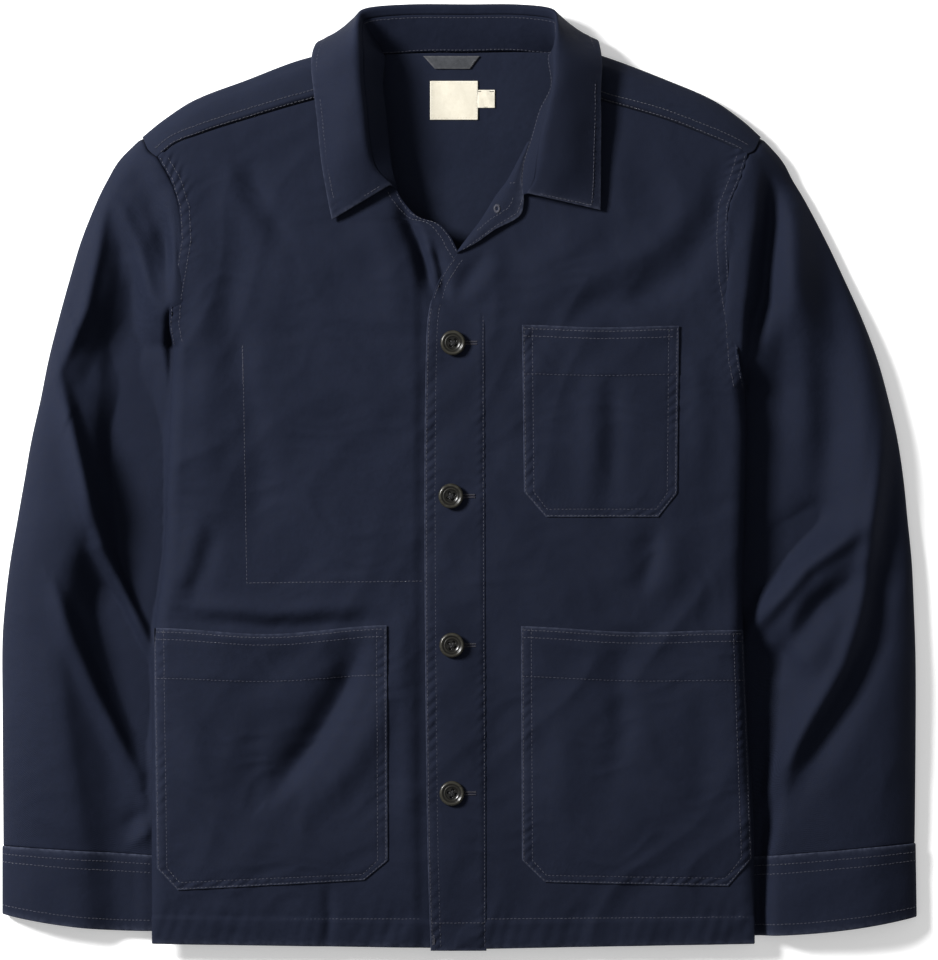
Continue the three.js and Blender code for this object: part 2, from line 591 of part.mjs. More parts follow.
// The armhole as a ring: shoulder fold, strip, front down to the armpit, back up again
function armholeRing(side) {
  const front = [];
  const behind = [];
  for (let row = LAST_ROW - 1; row > side.armpitRow; row -= 1) front.push(frontPoint(side, row, 0));
  const backColumn = side.sign < 0 ? 0 : backColumns - 1;
  for (let row = side.armpitRow + 1; row < LAST_ROW; row += 1) behind.push(backPoint(row, backColumn));
  const strip = [1, 2, 3, 4].map((step) => shoulderPoint(side, step, 0));
  const armpit = frontPoint(side, side.armpitRow, 0);
  for (const point of [...front, armpit, ...behind]) {
    const relief = 1 - smooth(0, ARMPIT_RELIEF.reach, point.y - side.armpit);
    point.x += side.sign * ARMPIT_RELIEF.out * relief;
    if (point === armpit) point.z -= ARMPIT_RELIEF.down;
  }
  const top = [...strip, ...front, armpit];
  return { top, bottom: [...behind, shoulderPoint(side, 0, 0)] };
}

// Ring places run from 0 at the outer fold over the top to 1 at the inner fold, and back underneath
function ringPlaces(ring) {
  const topLast = ring.top.length - 1;
  const bottomLast = ring.bottom.length + 1;
  const across = (part) => (1 - Math.cos(Math.PI * part)) / 2; // closer together at the two folds
  const top = ring.top.map((point, place) => ({ point, top: true, share: across(place / topLast) }));
  const bottom = ring.bottom.map((point, place) => ({
    point, top: false, share: 1 - across((place + 1) / bottomLast),
  }));
  return [...top, ...bottom];
}

function innerFold(side, y) {
  const below = side.armpit - y;
  const { gap, from, to } = UNDERARM_REACH;
  const inward = lerp(-UNDERARM_GAP * smooth(0, gap, below), UNDER_BODY, smooth(from, to, below));
  return side.outerX(y) - side.sign * inward;
}

// Height of the upper layer: a dome across the sleeve, held down where the body lies over it
function sleeveTop(side, folds, along, share, x, y) {
  const dome = (1 - Math.abs(2 * share - 1) ** DOME.edge) ** DOME.crown;
  const ends = lerp(SLEEVE_FOLD_Z.outer, SLEEVE_FOLD_Z.inner, share);
  let z = lerp(ends, curve(CROWN, 'along', 'z')(along), dome);
  z += foldHeight(folds, x, y) * dome;
  const below = side.armpit - y;
  const outward = side.sign * (x - side.outerX(Math.min(y, side.armpit)));
  const allowed = sideLift(side, Math.min(y, side.armpit)) - UNDER_CLEARANCE
    + BESIDE_BODY.slope * Math.max(outward - BESIDE_BODY.start, 0) + ABOVE_ARMPIT_SLOPE * Math.max(-below, 0);
  return Math.max(softMin(z, allowed, BESIDE_BODY.blend), FLOOR_CLOTH + LEAST_HOLLOW);
}

function sleeveBottom(share) {
  const { height, share: width } = BOTTOM_ROUNDING;
  const rounding = (distance) => height * Math.max(1 - distance / width, 0) ** 2;
  return FLOOR_CLOTH + rounding(share) + rounding(1 - share);
}

function sleevePoint(side, edgeX, folds, cuff, along, { point, top, share }) {
  const outerY = lerp(side.fold[0].y, cuff.top.outer, along);
  const innerY = lerp(side.armpit, cuff.top.inner, along);
  const [outerX, innerX] = [edgeX(outerY), innerFold(side, innerY)];
  const settled = ({ outer, inner, power }) => smooth(0, lerp(outer, inner, share ** power), along);
  const fade = 1 - settled(OUTLINE_FADE);
  const [tip, armpitX] = [side.fold[0], side.outerX(side.armpit)];
  const x = lerp(outerX, innerX, share) + fade * (point.x - lerp(tip.x, armpitX, share));
  const y = lerp(outerY, innerY, share) + fade * (point.y - lerp(tip.y, side.armpit, share));
  const target = top ? sleeveTop(side, folds, along, share, x, y) : sleeveBottom(share);
  return vector(x, y, lerp(point.z, target, settled(HEIGHT_FADE)));
}

function cuffPoint(side, cuff, start, share, down) {
  const x = lerp(start.x, lerp(cuff.outerX, innerFold(side, cuff.bottom.inner), share), down);
  const sag = CUFF_SAG * 4 * share * (1 - share);
  const y = lerp(start.y, lerp(cuff.bottom.outer, cuff.bottom.inner, share) - sag, down);
  return vector(x, y, Math.max(start.z, FLOOR_DOUBLE));
}

function makeSleeve(name, edge, folds) {
  const side = sides[name];
  const cuff = CUFFS[name];
  const edgeX = curve(edge, 'y', 'x');
  const places = ringPlaces(armholeRing(side));
  const tube = { flip: side.sign < 0, ring: true };
  const onSleeve = (along, place) => sleevePoint(side, edgeX, folds, cuff, along, place);
  const sleeve = sheet(SLEEVE_ROWS.length, places.length,
    (row, column) => onSleeve(SLEEVE_ROWS[row], places[column]), tube);
  const wrist = places.map((place) => onSleeve(1, place));
  const cuffSheet = sheet(CUFF_ROWS.length, places.length,
    (row, column) => cuffPoint(side, cuff, wrist[column], places[column].share, CUFF_ROWS[row]), tube);
  return { sleeve, cuff: cuffSheet };
}

const left = makeSleeve('left', LEFT_SLEEVE_EDGE, LEFT_SLEEVE_FOLDS);
const right = makeSleeve('right', RIGHT_SLEEVE_EDGE, RIGHT_SLEEVE_FOLDS);

// Collar
const count = (from, to) =>
  Array.from({ length: Math.abs(to - from) + 1 }, (_, step) => from + Math.sign(to - from) * step);
const neckRing = [
  ...count(LEFT_COLLAR_ROW, LAST_ROW).map((row) => frontPoint(sides.left, row, 1)),
  ...count(LAST_ROW + STRIP_ROWS - 1, LAST_ROW).map((row) => backPoint(row, neckFirst)),
  ...count(neckFirst + 1, neckLast - 1).map((column) => backPoint(LAST_ROW, column)),
  ...count(LAST_ROW, LAST_ROW + STRIP_ROWS - 1).map((row) => backPoint(row, neckLast)),
  ...count(LAST_ROW, turnLastRow + 1).map((row) => frontPoint(sides.right, row, 1)),
  ...count(turnLastRow, RIGHT_COLLAR_ROW).map((row) =>
    turnedPoint(frontPoint(sides.right, row, 1), row, TURN_COLUMNS)),
];

// From the neck seam straight to the roll, and then along a Bezier curve down to the edge. Its handles
// either spread the leaf over the shoulder or, at the back of the neck, bend it down and under.
function collarPoint(station, step) {
  const neck = neckRing[station];
  const row = COLLAR[station];
  const roll = vector(row.rollX, row.rollY, row.rollZ);
  if (step <= 1) {
    const bow = STAND_BOW * Math.sin(Math.PI * step);
    return neck.clone().lerp(roll, step).add(vector(0, 0, bow * row.under));
  }
  const t = step - 1;
  const edge = vector(row.edgeX, row.edgeY, row.edgeZ);
  const toward = (share) => roll.clone().lerp(edge, share);
  const over = [toward(LEAF_OVER.roll).setZ(roll.z + LEAF_OVER.rollRise), toward(LEAF_OVER.edge)];
  over[1].z += LEAF_OVER.edgeRise;
  const beneath = [
    vector(roll.x, roll.y + LEAF_UNDER.out, roll.z * LEAF_UNDER.down),
    toward(LEAF_UNDER.edge).setZ(edge.z),
  ];
  const handles = over.map((handle, place) => handle.lerp(beneath[place], row.under));
  return roll.multiplyScalar((1 - t) ** 3)
    .addScaledVector(handles[0], 3 * t * (1 - t) ** 2)
    .addScaledVector(handles[1], 3 * t ** 2 * (1 - t))
    .addScaledVector(edge, t ** 3);
}

const collarSheet = (steps) =>
  sheet(COLLAR.length, steps.length, (row, column) => collarPoint(row, steps[column]));
const stand = collarSheet(STAND_STEPS);
const leaf = collarSheet(LEAF_STEPS);

shareNormals([frontLeft, frontRight, back, left.sleeve, right.sleeve, stand]);

// Trim on the inside of the back, which faces up in the neck opening
function flatTrim(corners) {
  const points = corners.map(([x, y]) => vector(x, y, backHeight(x, y)));
  const triangles = [[0, 1, 2], [0, 2, 3]];
  return { points, triangles, normals: points.map(() => vector(0, 0, 1)) };
}
const trimBase = CLOTH / 2 + GAP;
const label = flatTrim([
  [LABEL.left, LABEL.bottom], [LABEL.right, LABEL.bottom], [LABEL.right, LABEL.top], [LABEL.left, LABEL.top],
]);
const sizeTag = flatTrim([
  [SIZE_TAG.left, SIZE_TAG.bottom], [SIZE_TAG.right, SIZE_TAG.bottom],
  [SIZE_TAG.right, SIZE_TAG.top], [SIZE_TAG.left, SIZE_TAG.top],
]);
const loop = flatTrim([
  [LOOP.bottomLeft, LOOP.bottom], [LOOP.bottomRight, LOOP.bottom],
  [LOOP.topRight, LOOP.top], [LOOP.topLeft, LOOP.top],
]);

// Four-hole button with a raised rim
function toSolid(geometry) {
  const bare = geometry.clone();
  bare.deleteAttribute('normal');
  bare.deleteAttribute('uv');
  const merged = mergeVertices(bare);
  return new wasm.Manifold(new wasm.Mesh({
    numProp: 3,
    vertProperties: merged.attributes.position.array,
    triVerts: new Uint32Array(merged.index.array),
  }));
}

function toGeometry(solid) {
  const mesh = solid.getMesh();
  const geometry = new THREE.BufferGeometry();
  geometry.setAttribute('position', new THREE.Float32BufferAttribute(mesh.vertProperties, 3));
  geometry.setIndex([...mesh.triVerts]);
  return geometry;
}

const BUTTON_SEGMENTS = 20;
const BUTTON_HOLE = { radius: 1.1, reach: 2.1, segments: 6 };

function buttonGeometry() {
  const radius = BUTTON_DIAMETER / 2;
  const profile = table(['radius', 'z'], [
    [0, 0], [radius - 2.5, 0], [radius, 1.4], [radius, 2.4], [radius - 1.2, BUTTON_THICKNESS],
    [radius - 2.6, BUTTON_THICKNESS], [radius - 4, 2.4], [0, 2.2],
  ]).map(({ radius: r, z }) => new THREE.Vector2(r, z));
  let solid = toSolid(new THREE.LatheGeometry(profile, BUTTON_SEGMENTS).rotateX(Math.PI / 2));
  const { radius: bore, reach, segments } = BUTTON_HOLE;
  for (const [x, y] of [[-1, -1], [1, -1], [1, 1], [-1, 1]]) {
    const hole = new THREE.CylinderGeometry(bore, bore, 3 * BUTTON_THICKNESS, segments)
      .rotateX(Math.PI / 2).translate(x * reach, y * reach, 0);
    solid = solid.subtract(toSolid(hole));
  }
  return toGeometry(solid);
}

// Assembly
const jacket = new THREE.Group();

function add(name, geometry, finish, position = [0, 0, 0]) {
  const mesh = new THREE.Mesh(geometry, new THREE.MeshStandardMaterial({ metalness: 0, ...finish }));
  mesh.name = name;
  mesh.position.set(...position);
  jacket.add(mesh);
}

const cloth = (piece, cut) => wall(piece, -CLOTH / 2, CLOTH / 2, piece.triangles, cut);
const doubled = (piece, cut) => wall(piece, -DOUBLE / 2, DOUBLE / 2, piece.triangles, cut);
const patched = (piece, triangles) => wall(piece, CLOTH / 2 + GAP, CLOTH * 1.5 + GAP, triangles);

add('back', cloth(back), INK);
add('front_left', cloth(frontLeft), INK);
add('front_right', cloth(frontRight), INK);
add('sleeve_left', cloth(left.sleeve, CURVED_SEAM_CUT), INK);
add('sleeve_right', cloth(right.sleeve, CURVED_SEAM_CUT), INK);
add('cuff_left', doubled(left.cuff), INK);
add('cuff_right', doubled(right.cuff), INK);
add('collar_stand', doubled(stand, CURVED_SEAM_CUT), INK);
add('collar_leaf', doubled(leaf, CURVED_SEAM_CUT), INK);

const band = block(frontRight, { rows: [0, FAN_ROW], columns: [PLACKET_COLUMN, frontColumns - 1] });
add('placket', patched(frontRight, band), INK);
add('pocket_left', patched(frontLeft, block(frontLeft, LOWER_POCKET)), INK);
add('pocket_right', patched(frontRight, block(frontRight, LOWER_POCKET)), INK);
add('chest_pocket', patched(frontRight, block(frontRight, CHEST_POCKET)), INK);

add('hang_loop', wall(loop, trimBase, trimBase + TRIM), CHARCOAL);
add('label', wall(label, trimBase, trimBase + TRIM), CREAM);
add('size_tag', wall(sizeTag, trimBase, trimBase + TRIM), CREAM);

// Each button sits on the highest point of the placket below it
const button = buttonGeometry();
BUTTONS.forEach(({ x, y }, index) => {
  const reach = BUTTON_DIAMETER / 2;
  let highest = 0;
  for (const side of [-1, 0, 1]) {
    for (const level of [-1, 0, 1]) {
      const [atX, atY] = [x + side * reach, y + level * reach];
      highest = Math.max(highest, frontHeight(atY) + foldHeight(FRONT_FOLDS, atX, atY));
    }
  }
  const seat = highest + CLOTH * 1.5 + 2 * GAP;
  add(`button_${index + 1}`, button.clone(), HORN, [x, y, seat]);
});

export default jacket;
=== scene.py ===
"""Chore jacket, buttoned and laid flat on its back: its cloth, stitching, trim and light.

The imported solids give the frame. Each shape here is a function of two parameters, worked out on a
grid in millimetres in the solids' own frame: +X to the viewer's right, +Y toward the collar, +Z up.
Left and right are the viewer's. Places given in view units are read off the front view.
"""
import logging
import math
from dataclasses import dataclass, field
from enum import Enum
from typing import Callable, Sequence

import bpy
import numpy as np
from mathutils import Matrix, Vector


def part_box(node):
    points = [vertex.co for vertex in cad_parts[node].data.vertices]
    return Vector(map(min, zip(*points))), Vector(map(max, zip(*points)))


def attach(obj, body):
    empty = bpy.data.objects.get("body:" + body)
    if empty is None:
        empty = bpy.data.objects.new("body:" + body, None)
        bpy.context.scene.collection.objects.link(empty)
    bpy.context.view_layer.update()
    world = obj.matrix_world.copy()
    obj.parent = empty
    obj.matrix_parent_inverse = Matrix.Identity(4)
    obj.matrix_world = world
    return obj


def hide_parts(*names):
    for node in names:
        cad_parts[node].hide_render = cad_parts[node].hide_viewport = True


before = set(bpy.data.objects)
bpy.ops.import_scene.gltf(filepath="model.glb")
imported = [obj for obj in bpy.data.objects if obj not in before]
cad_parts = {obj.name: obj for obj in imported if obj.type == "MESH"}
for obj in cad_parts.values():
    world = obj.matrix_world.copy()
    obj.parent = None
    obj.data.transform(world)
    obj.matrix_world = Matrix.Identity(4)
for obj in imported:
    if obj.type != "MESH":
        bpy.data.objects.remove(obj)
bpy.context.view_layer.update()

Array = np.ndarray
Line = Sequence[tuple[float, float]]
Surface = Callable[[Array, Array], Array]

log = logging.getLogger("jacket")

MM = 0.001
VIEW_UNIT = 0.8
VIEW_ORIGIN = (459.5, 476.5)
VIEW_SIZE = (938, 960)


# Small mathematics


def lerp(start: Array | float, end: Array | float, share: Array | float) -> Array:
    """Straight mix of two values."""
    return start + (end - start) * share


def smooth(low: float | Array, high: float | Array, value: Array | float) -> Array:
    """Eased step from 0 at low to 1 at high: three shares squared less two shares cubed."""
    share = np.clip((value - low) / (high - low), 0, 1)
    return share * share * (3 - 2 * share)


def quarter_round(share: Array | float) -> Array:
    """Height of a quarter circle at a share of its width."""
    return np.sqrt(1 - (1 - np.clip(share, 0, 1)) ** 2)


def soft_min(first: Array, second: Array, blend: float) -> Array:
    """The lower of two values, rounded where they cross."""
    return (first + second - np.sqrt((first - second) ** 2 + blend * blend)) / 2


def through(stations: Sequence[float] | Array, values: Sequence | Array, at: Array | float) -> Array:
    """Values on a smooth curve through a table.

    Each span is a cubic whose end slopes are the rise across both neighbours over their distance.

    Args:
        stations: Rising positions of the table's rows.
        values: One value, or one row of values, for each station.
        at: Positions to read, held inside the table.

    Returns:
        The values, one for each position.
    """
    stations, values = np.asarray(stations, float), np.asarray(values, float)
    at = np.clip(np.asarray(at, float), stations[0], stations[-1])
    steps = np.diff(stations)
    wide = (slice(None),) + (None,) * (values.ndim - 1)
    slopes = np.empty_like(values)
    slopes[0] = (values[1] - values[0]) / steps[0]
    slopes[-1] = (values[-1] - values[-2]) / steps[-1]
    slopes[1:-1] = (values[2:] - values[:-2]) / (stations[2:] - stations[:-2])[wide]
    place = np.clip(np.searchsorted(stations, at, side="right") - 1, 0, len(stations) - 2)
    span = np.asarray(steps[place])
    t = np.asarray((at - stations[place]) / span)
    t, span = (part.reshape(part.shape + (1,) * (values.ndim - 1)) for part in (t, span))
    return (
        (2 * t**3 - 3 * t**2 + 1) * values[place]
        + (t**3 - 2 * t**2 + t) * span * slopes[place]
        + (3 * t**2 - 2 * t**3) * values[place + 1]
        + (t**3 - t**2) * span * slopes[place + 1]
    )


def seen_at(places: Line) -> Array:
    """Millimetres in the frame for places in view units."""
    return (np.asarray(places, float) - VIEW_ORIGIN) * (VIEW_UNIT, -VIEW_UNIT)


def line_offsets(x: Array, y: Array, line: Array) -> tuple[Array, Array]:
    """How far places lie from a broken line, and where along it.

    Args:
        x: Places across.
        y: Places up.
        line: Corners of the line.

    Returns:
        The distance, positive to the left of the line's direction, and the length run to the nearest point.
    """
    nearest = np.full(np.shape(x), np.inf)
    signed, along = np.zeros(np.shape(x)), np.zeros(np.shape(x))
    run = 0.0
    for (x0, y0), (x1, y1) in zip(line[:-1], line[1:]):
        dx, dy = x1 - x0, y1 - y0
        length = math.hypot(dx, dy)
        share = np.clip(((x - x0) * dx + (y - y0) * dy) / length**2, 0, 1)
        off_x, off_y = x - x0 - share * dx, y - y0 - share * dy
        distance = np.hypot(off_x, off_y)
        closer = distance < nearest
        nearest = np.where(closer, distance, nearest)
        signed = np.where(closer, np.where(dx * off_y - dy * off_x >= 0, distance, -distance), signed)
        along = np.where(closer, run + share * length, along)
        run += length
    return signed, along


def waves(x: Array, y: Array, size: float, seed: int, count: int = 7) -> Array:
    """Gentle uneven rise and fall: plane waves of mixed directions, lengths and phases, added up.

    Args:
        x: Places across.
        y: Places up.
        size: Usual length of a wave.
        seed: Start of the fixed random series.
        count: How many waves are added.

    Returns:
        Heights that stay mostly between -1 and 1.
    """
    random = np.random.default_rng(seed)
    total = np.zeros(np.broadcast(x, y).shape)
    for turn, stretch, phase in zip(random.uniform(0, math.pi, count), random.uniform(0.7, 1.6, count),
                                    random.uniform(0, 2 * math.pi, count)):
        pace = 2 * math.pi / (size * stretch)
        total += np.sin(pace * (x * math.cos(turn) + y * math.sin(turn)) + phase)
    return total / math.sqrt(count)


def surface_of(points: Array) -> Surface:
    """A grid of points as a surface for shares across and up: a mix of the four round a place."""
    rows, columns = points.shape[:2]

    def surface(across: Array, up: Array) -> Array:
        """Points for shares in equal shapes."""
        column, row = np.clip(across, 0, 1) * (columns - 1), np.clip(up, 0, 1) * (rows - 1)
        left = np.minimum(column.astype(int), columns - 2)
        low = np.minimum(row.astype(int), rows - 2)
        u, v = (column - left)[..., None], (row - low)[..., None]
        below = lerp(points[low, left], points[low, left + 1], u)
        return lerp(below, lerp(points[low + 1, left], points[low + 1, left + 1], u), v)

    return surface


def over(points: Array) -> Surface:
    """A surface over the floor's x and y that takes its height from the nearest of many points."""
    flat = points.reshape(-1, 3)

    def surface(x: Array, y: Array) -> Array:
        """Points over places in equal shapes."""
        nearest = ((x[..., None] - flat[:, 0]) ** 2 + (y[..., None] - flat[:, 1]) ** 2).argmin(-1)
        return np.stack([x, y, flat[nearest, 2]], -1)

    return surface


def crumple(x: Array, y: Array, size: float, seed: int) -> Array:
    """Soft crinkles: waves bent by slower waves, with the slope broken where they cross zero.

    Args:
        x: Places across.
        y: Places up.
        size: Usual distance between crinkles.
        seed: Start of the fixed random series.

    Returns:
        Heights between about -1.5 and 0.4.
    """
    bend = 0.3 * size
    along = x + bend * waves(x, y, size * 1.9, seed + 1)
    up = y + bend * waves(x, y, size * 1.7, seed + 2)
    return 0.4 - np.sqrt(waves(along, up, size, seed, 5) ** 2 + 0.02)


@dataclass(frozen=True)
class Fold:
    """A crease: a soft ridge, or a trough where the height is negative, along a line in view units."""

    line: tuple[tuple[float, float], ...]
    width: float
    height: float
    steep: float = 1.0  # width on the left of the line's direction over that on its right

    def rise(self, x: Array, y: Array) -> Array:
        """Height at each place: a bell across the line that fades toward both of its ends."""
        line = seen_at(self.line)
        signed, along = line_offsets(x, y, line)
        length = float(np.hypot(*np.diff(line, axis=0).T).sum())
        width = self.width * np.where(signed > 0, self.steep, 1.0)
        fade = smooth(-0.12, 0.3, along / length) * (1 - smooth(0.7, 1.12, along / length))
        return self.height * np.exp(-((signed / width) ** 2)) * fade


def rise_of(folds: Sequence[Fold], x: Array, y: Array) -> Array:
    """Sum of the folds' heights."""
    return sum((fold.rise(x, y) for fold in folds), np.zeros(np.broadcast(x, y).shape))


@dataclass(frozen=True)
class Seam:
    """A sewn line in view units, with the relief that sewing leaves in the cloth beside it."""

    line: tuple[tuple[float, float], ...]
    rows: tuple[float, ...] = (1.6, 8.0)  # stitch rows, as distances to the left of the line, mm
    felled: float = 0.5  # extra height of the layers between the line and the last row
    pucker: float = 0.22
    pitch: float = 9.0
    slant: float = 0.8  # how far the puckers lean

    def relief(self, x: Array, y: Array) -> Array:
        """Height: raised layers, a shallow channel along each row, and puckers across the seam."""
        signed, along = line_offsets(x, y, seen_at(self.line))
        last = max(self.rows)
        layers = smooth(-0.8, 0.8, signed) * (1 - smooth(last - 0.2, last + 1.6, signed))
        channel = sum(np.exp(-(((signed - row) / 1.1) ** 2)) for row in self.rows)
        uneven = 0.55 + 0.45 * np.sin(along / 31.0 + 1.7) * np.sin(along / 13.0)
        ripple = np.sin(2 * math.pi * (along + self.slant * signed) / self.pitch
                        + 1.5 * np.sin(along / 17.0))
        beside = np.exp(-(((signed - last * 0.55) / (last * 0.75 + 1.5)) ** 2))
        return self.felled * layers - 0.3 * channel + self.pucker * uneven * ripple * beside


def relief_of(seams: Sequence[Seam], x: Array, y: Array) -> Array:
    """Sum of the seams' relief."""
    return sum((seam.relief(x, y) for seam in seams), np.zeros(np.broadcast(x, y).shape))


# Meshes


def stations(length: float, step: float, fine: tuple[bool, bool] = (True, True)) -> Array:
    """Shares along a length: even steps, closer together at the ends that get a rounded rim."""
    count = max(int(round(length / step)), 2)
    even = np.linspace(0, 1, count + 1)
    rim = np.array([0.12, 0.4, 0.9]) / length
    parts = [even]
    if fine[0]:
        parts.append(rim)
    if fine[1]:
        parts.append(1 - rim)
    return np.unique(np.concatenate(parts))


def rim(share: Array, length: float, radius: float = 0.9, ends: tuple[bool, bool] = (True, True)) -> Array:
    """Share of the full thickness near an edge: a quarter circle over its last bit of width."""
    near = np.ones_like(share)
    if ends[0]:
        near = np.minimum(near, quarter_round(share * length / radius))
    if ends[1]:
        near = np.minimum(near, quarter_round((1 - share) * length / radius))
    return near


def grid_normals(points: Array, ring: bool = False) -> Array:
    """Unit normals of a grid of points: the cross product of its two central differences."""
    if ring:
        across = np.roll(points, -1, 1) - np.roll(points, 1, 1)
    else:
        across = np.gradient(points, axis=1)
    normals = np.cross(across, np.gradient(points, axis=0))
    size = np.linalg.norm(normals, axis=2, keepdims=True)
    return normals / np.maximum(size, 1e-9)


@dataclass
class Cloth:
    """A grid of points that becomes a closed thin shell."""

    points: Array
    thickness: float = 0.9
    share: Array | float = 1.0  # of the thickness at each point
    ring: bool = False
    flip: bool = False
    cells: Array | None = None  # which cells are there
    lift: float = 0.0  # middle of the shell above the grid
    wear: Array | float = 0.0

    def build(self) -> tuple[Array, Array, Array, Array]:
        """Offsets the grid both ways along its normals and closes it at its border.

        Returns:
            Vertices, quads, texture places in metres, and the wear at each vertex.
        """
        rows, columns = self.points.shape[:2]
        normals = grid_normals(self.points, self.ring) * (-1 if self.flip else 1)
        width = columns if self.ring else columns - 1
        cells = np.ones((rows - 1, width), bool) if self.cells is None else self.cells
        around = np.zeros((rows + 1, columns + 1), bool)
        around[1:rows, 1:width + 1] = cells
        if self.ring:
            around[:, 0] = around[:, columns]
        inner = around[:-1, :-1] & around[:-1, 1:] & around[1:, :-1] & around[1:, 1:]
        used = around[:-1, :-1] | around[:-1, 1:] | around[1:, :-1] | around[1:, 1:]
        half = np.broadcast_to(np.asarray(self.share, float), (rows, columns)) * self.thickness / 2
        half = np.where(inner, half, 0)[..., None]
        above = np.full((rows, columns), -1)
        above[used] = np.arange(used.sum())
        below = above.copy()
        below[inner] = used.sum() + np.arange(inner.sum())
        middle = self.points + normals * self.lift
        vertices = np.concatenate([(middle + normals * half)[used], (middle - normals * half)[inner]])
        row, column = np.nonzero(cells)
        beside = (column + 1) % columns
        top = np.stack([above[row, column], above[row, beside], above[row + 1, beside],
                        above[row + 1, column]], 1)
        bottom = np.stack([below[row, column], below[row + 1, column], below[row + 1, beside],
                           below[row, beside]], 1)
        quads = np.concatenate([top, bottom])
        if self.flip:
            quads = quads[:, ::-1]
        across = np.linalg.norm(np.diff(self.points, axis=1), axis=2)
        up = np.linalg.norm(np.diff(self.points, axis=0), axis=2)
        u = np.concatenate([np.zeros((rows, 1)), np.cumsum(across, 1)], 1)
        v = np.concatenate([np.zeros((1, columns)), np.cumsum(up, 0)], 0)
        places = np.stack([u, v], 2) * MM
        places = np.concatenate([places[used], places[inner]])
        wear = np.broadcast_to(np.asarray(self.wear, float), (rows, columns))
        return vertices, quads, places, np.concatenate([wear[used], wear[inner]])


def make_mesh(name: str, parts: Sequence[tuple], material: bpy.types.Material) -> bpy.types.Object:
    """One mesh object from parts in millimetres.

    Args:
        name: The piece's name.
        parts: Tuples of vertices, quads, texture places and wear. The last two may be None.
        material: Its finish.

    Returns:
        The object, at the origin, in metres, shaded smooth.
    """
    vertices = np.concatenate([part[0] for part in parts]) * MM
    starts = np.cumsum([0] + [len(part[0]) for part in parts[:-1]])
    quads = np.concatenate([part[1] + start for part, start in zip(parts, starts)]).astype(np.int32)
    mesh = bpy.data.meshes.new(name)
    mesh.vertices.add(len(vertices))
    mesh.vertices.foreach_set("co", vertices.astype(np.float32).ravel())
    mesh.loops.add(quads.size)
    mesh.loops.foreach_set("vertex_index", quads.ravel())
    mesh.polygons.add(len(quads))
    mesh.polygons.foreach_set("loop_start", np.arange(0, quads.size, 4, dtype=np.int32))
    mesh.update(calc_edges=True)
    mesh.polygons.foreach_set("use_smooth", np.ones(len(quads), bool))
    if all(part[2] is not None for part in parts):
        places = np.concatenate([part[2] for part in parts])
        layer = mesh.uv_layers.new(name="cloth")
        layer.data.foreach_set("uv", places[quads.ravel()].astype(np.float32).ravel())
        wear = mesh.attributes.new("wear", "FLOAT", "POINT")
        wear.data.foreach_set("value", np.concatenate([part[3] for part in parts]).astype(np.float32))
    mesh.materials.append(material)
    mesh.validate()
    piece = bpy.data.objects.new(name, mesh)
    bpy.context.scene.collection.objects.link(piece)
    return piece


def tubes(centres: Array, normals: Array, radii: Array, sides: int = 4) -> tuple[Array, Array, None, None]:
    """Many short closed tubes at once.

    Args:
        centres: Points along each tube, as (tube, station, 3).
        normals: A direction across each point.
        radii: Radius at each station.
        sides: Corners of the section. Four, so that the two ends are single quads.

    Returns:
        Vertices and quads, for make_mesh.
    """
    count, steps = centres.shape[:2]
    along = np.gradient(centres, axis=1)
    side = np.cross(normals, along)
    side /= np.maximum(np.linalg.norm(side, axis=2, keepdims=True), 1e-9)
    up = np.cross(along, side)
    up /= np.maximum(np.linalg.norm(up, axis=2, keepdims=True), 1e-9)
    turn = np.arange(sides) * 2 * math.pi / sides
    ring = side[:, :, None] * np.cos(turn)[:, None] + up[:, :, None] * np.sin(turn)[:, None]
    vertices = (centres[:, :, None] + ring * np.asarray(radii)[:, None, None]).reshape(-1, 3)
    index = np.arange(steps * sides).reshape(steps, sides)
    wall = np.stack([index[:-1], np.roll(index, -1, 1)[:-1], np.roll(index, -1, 1)[1:], index[1:]],
                    2).reshape(-1, 4)
    ends = np.array([index[0, ::-1], index[-1]])
    one = np.concatenate([wall, ends])
    quads = (one + (np.arange(count) * steps * sides)[:, None, None]).reshape(-1, 4)
    return vertices, quads, None, None


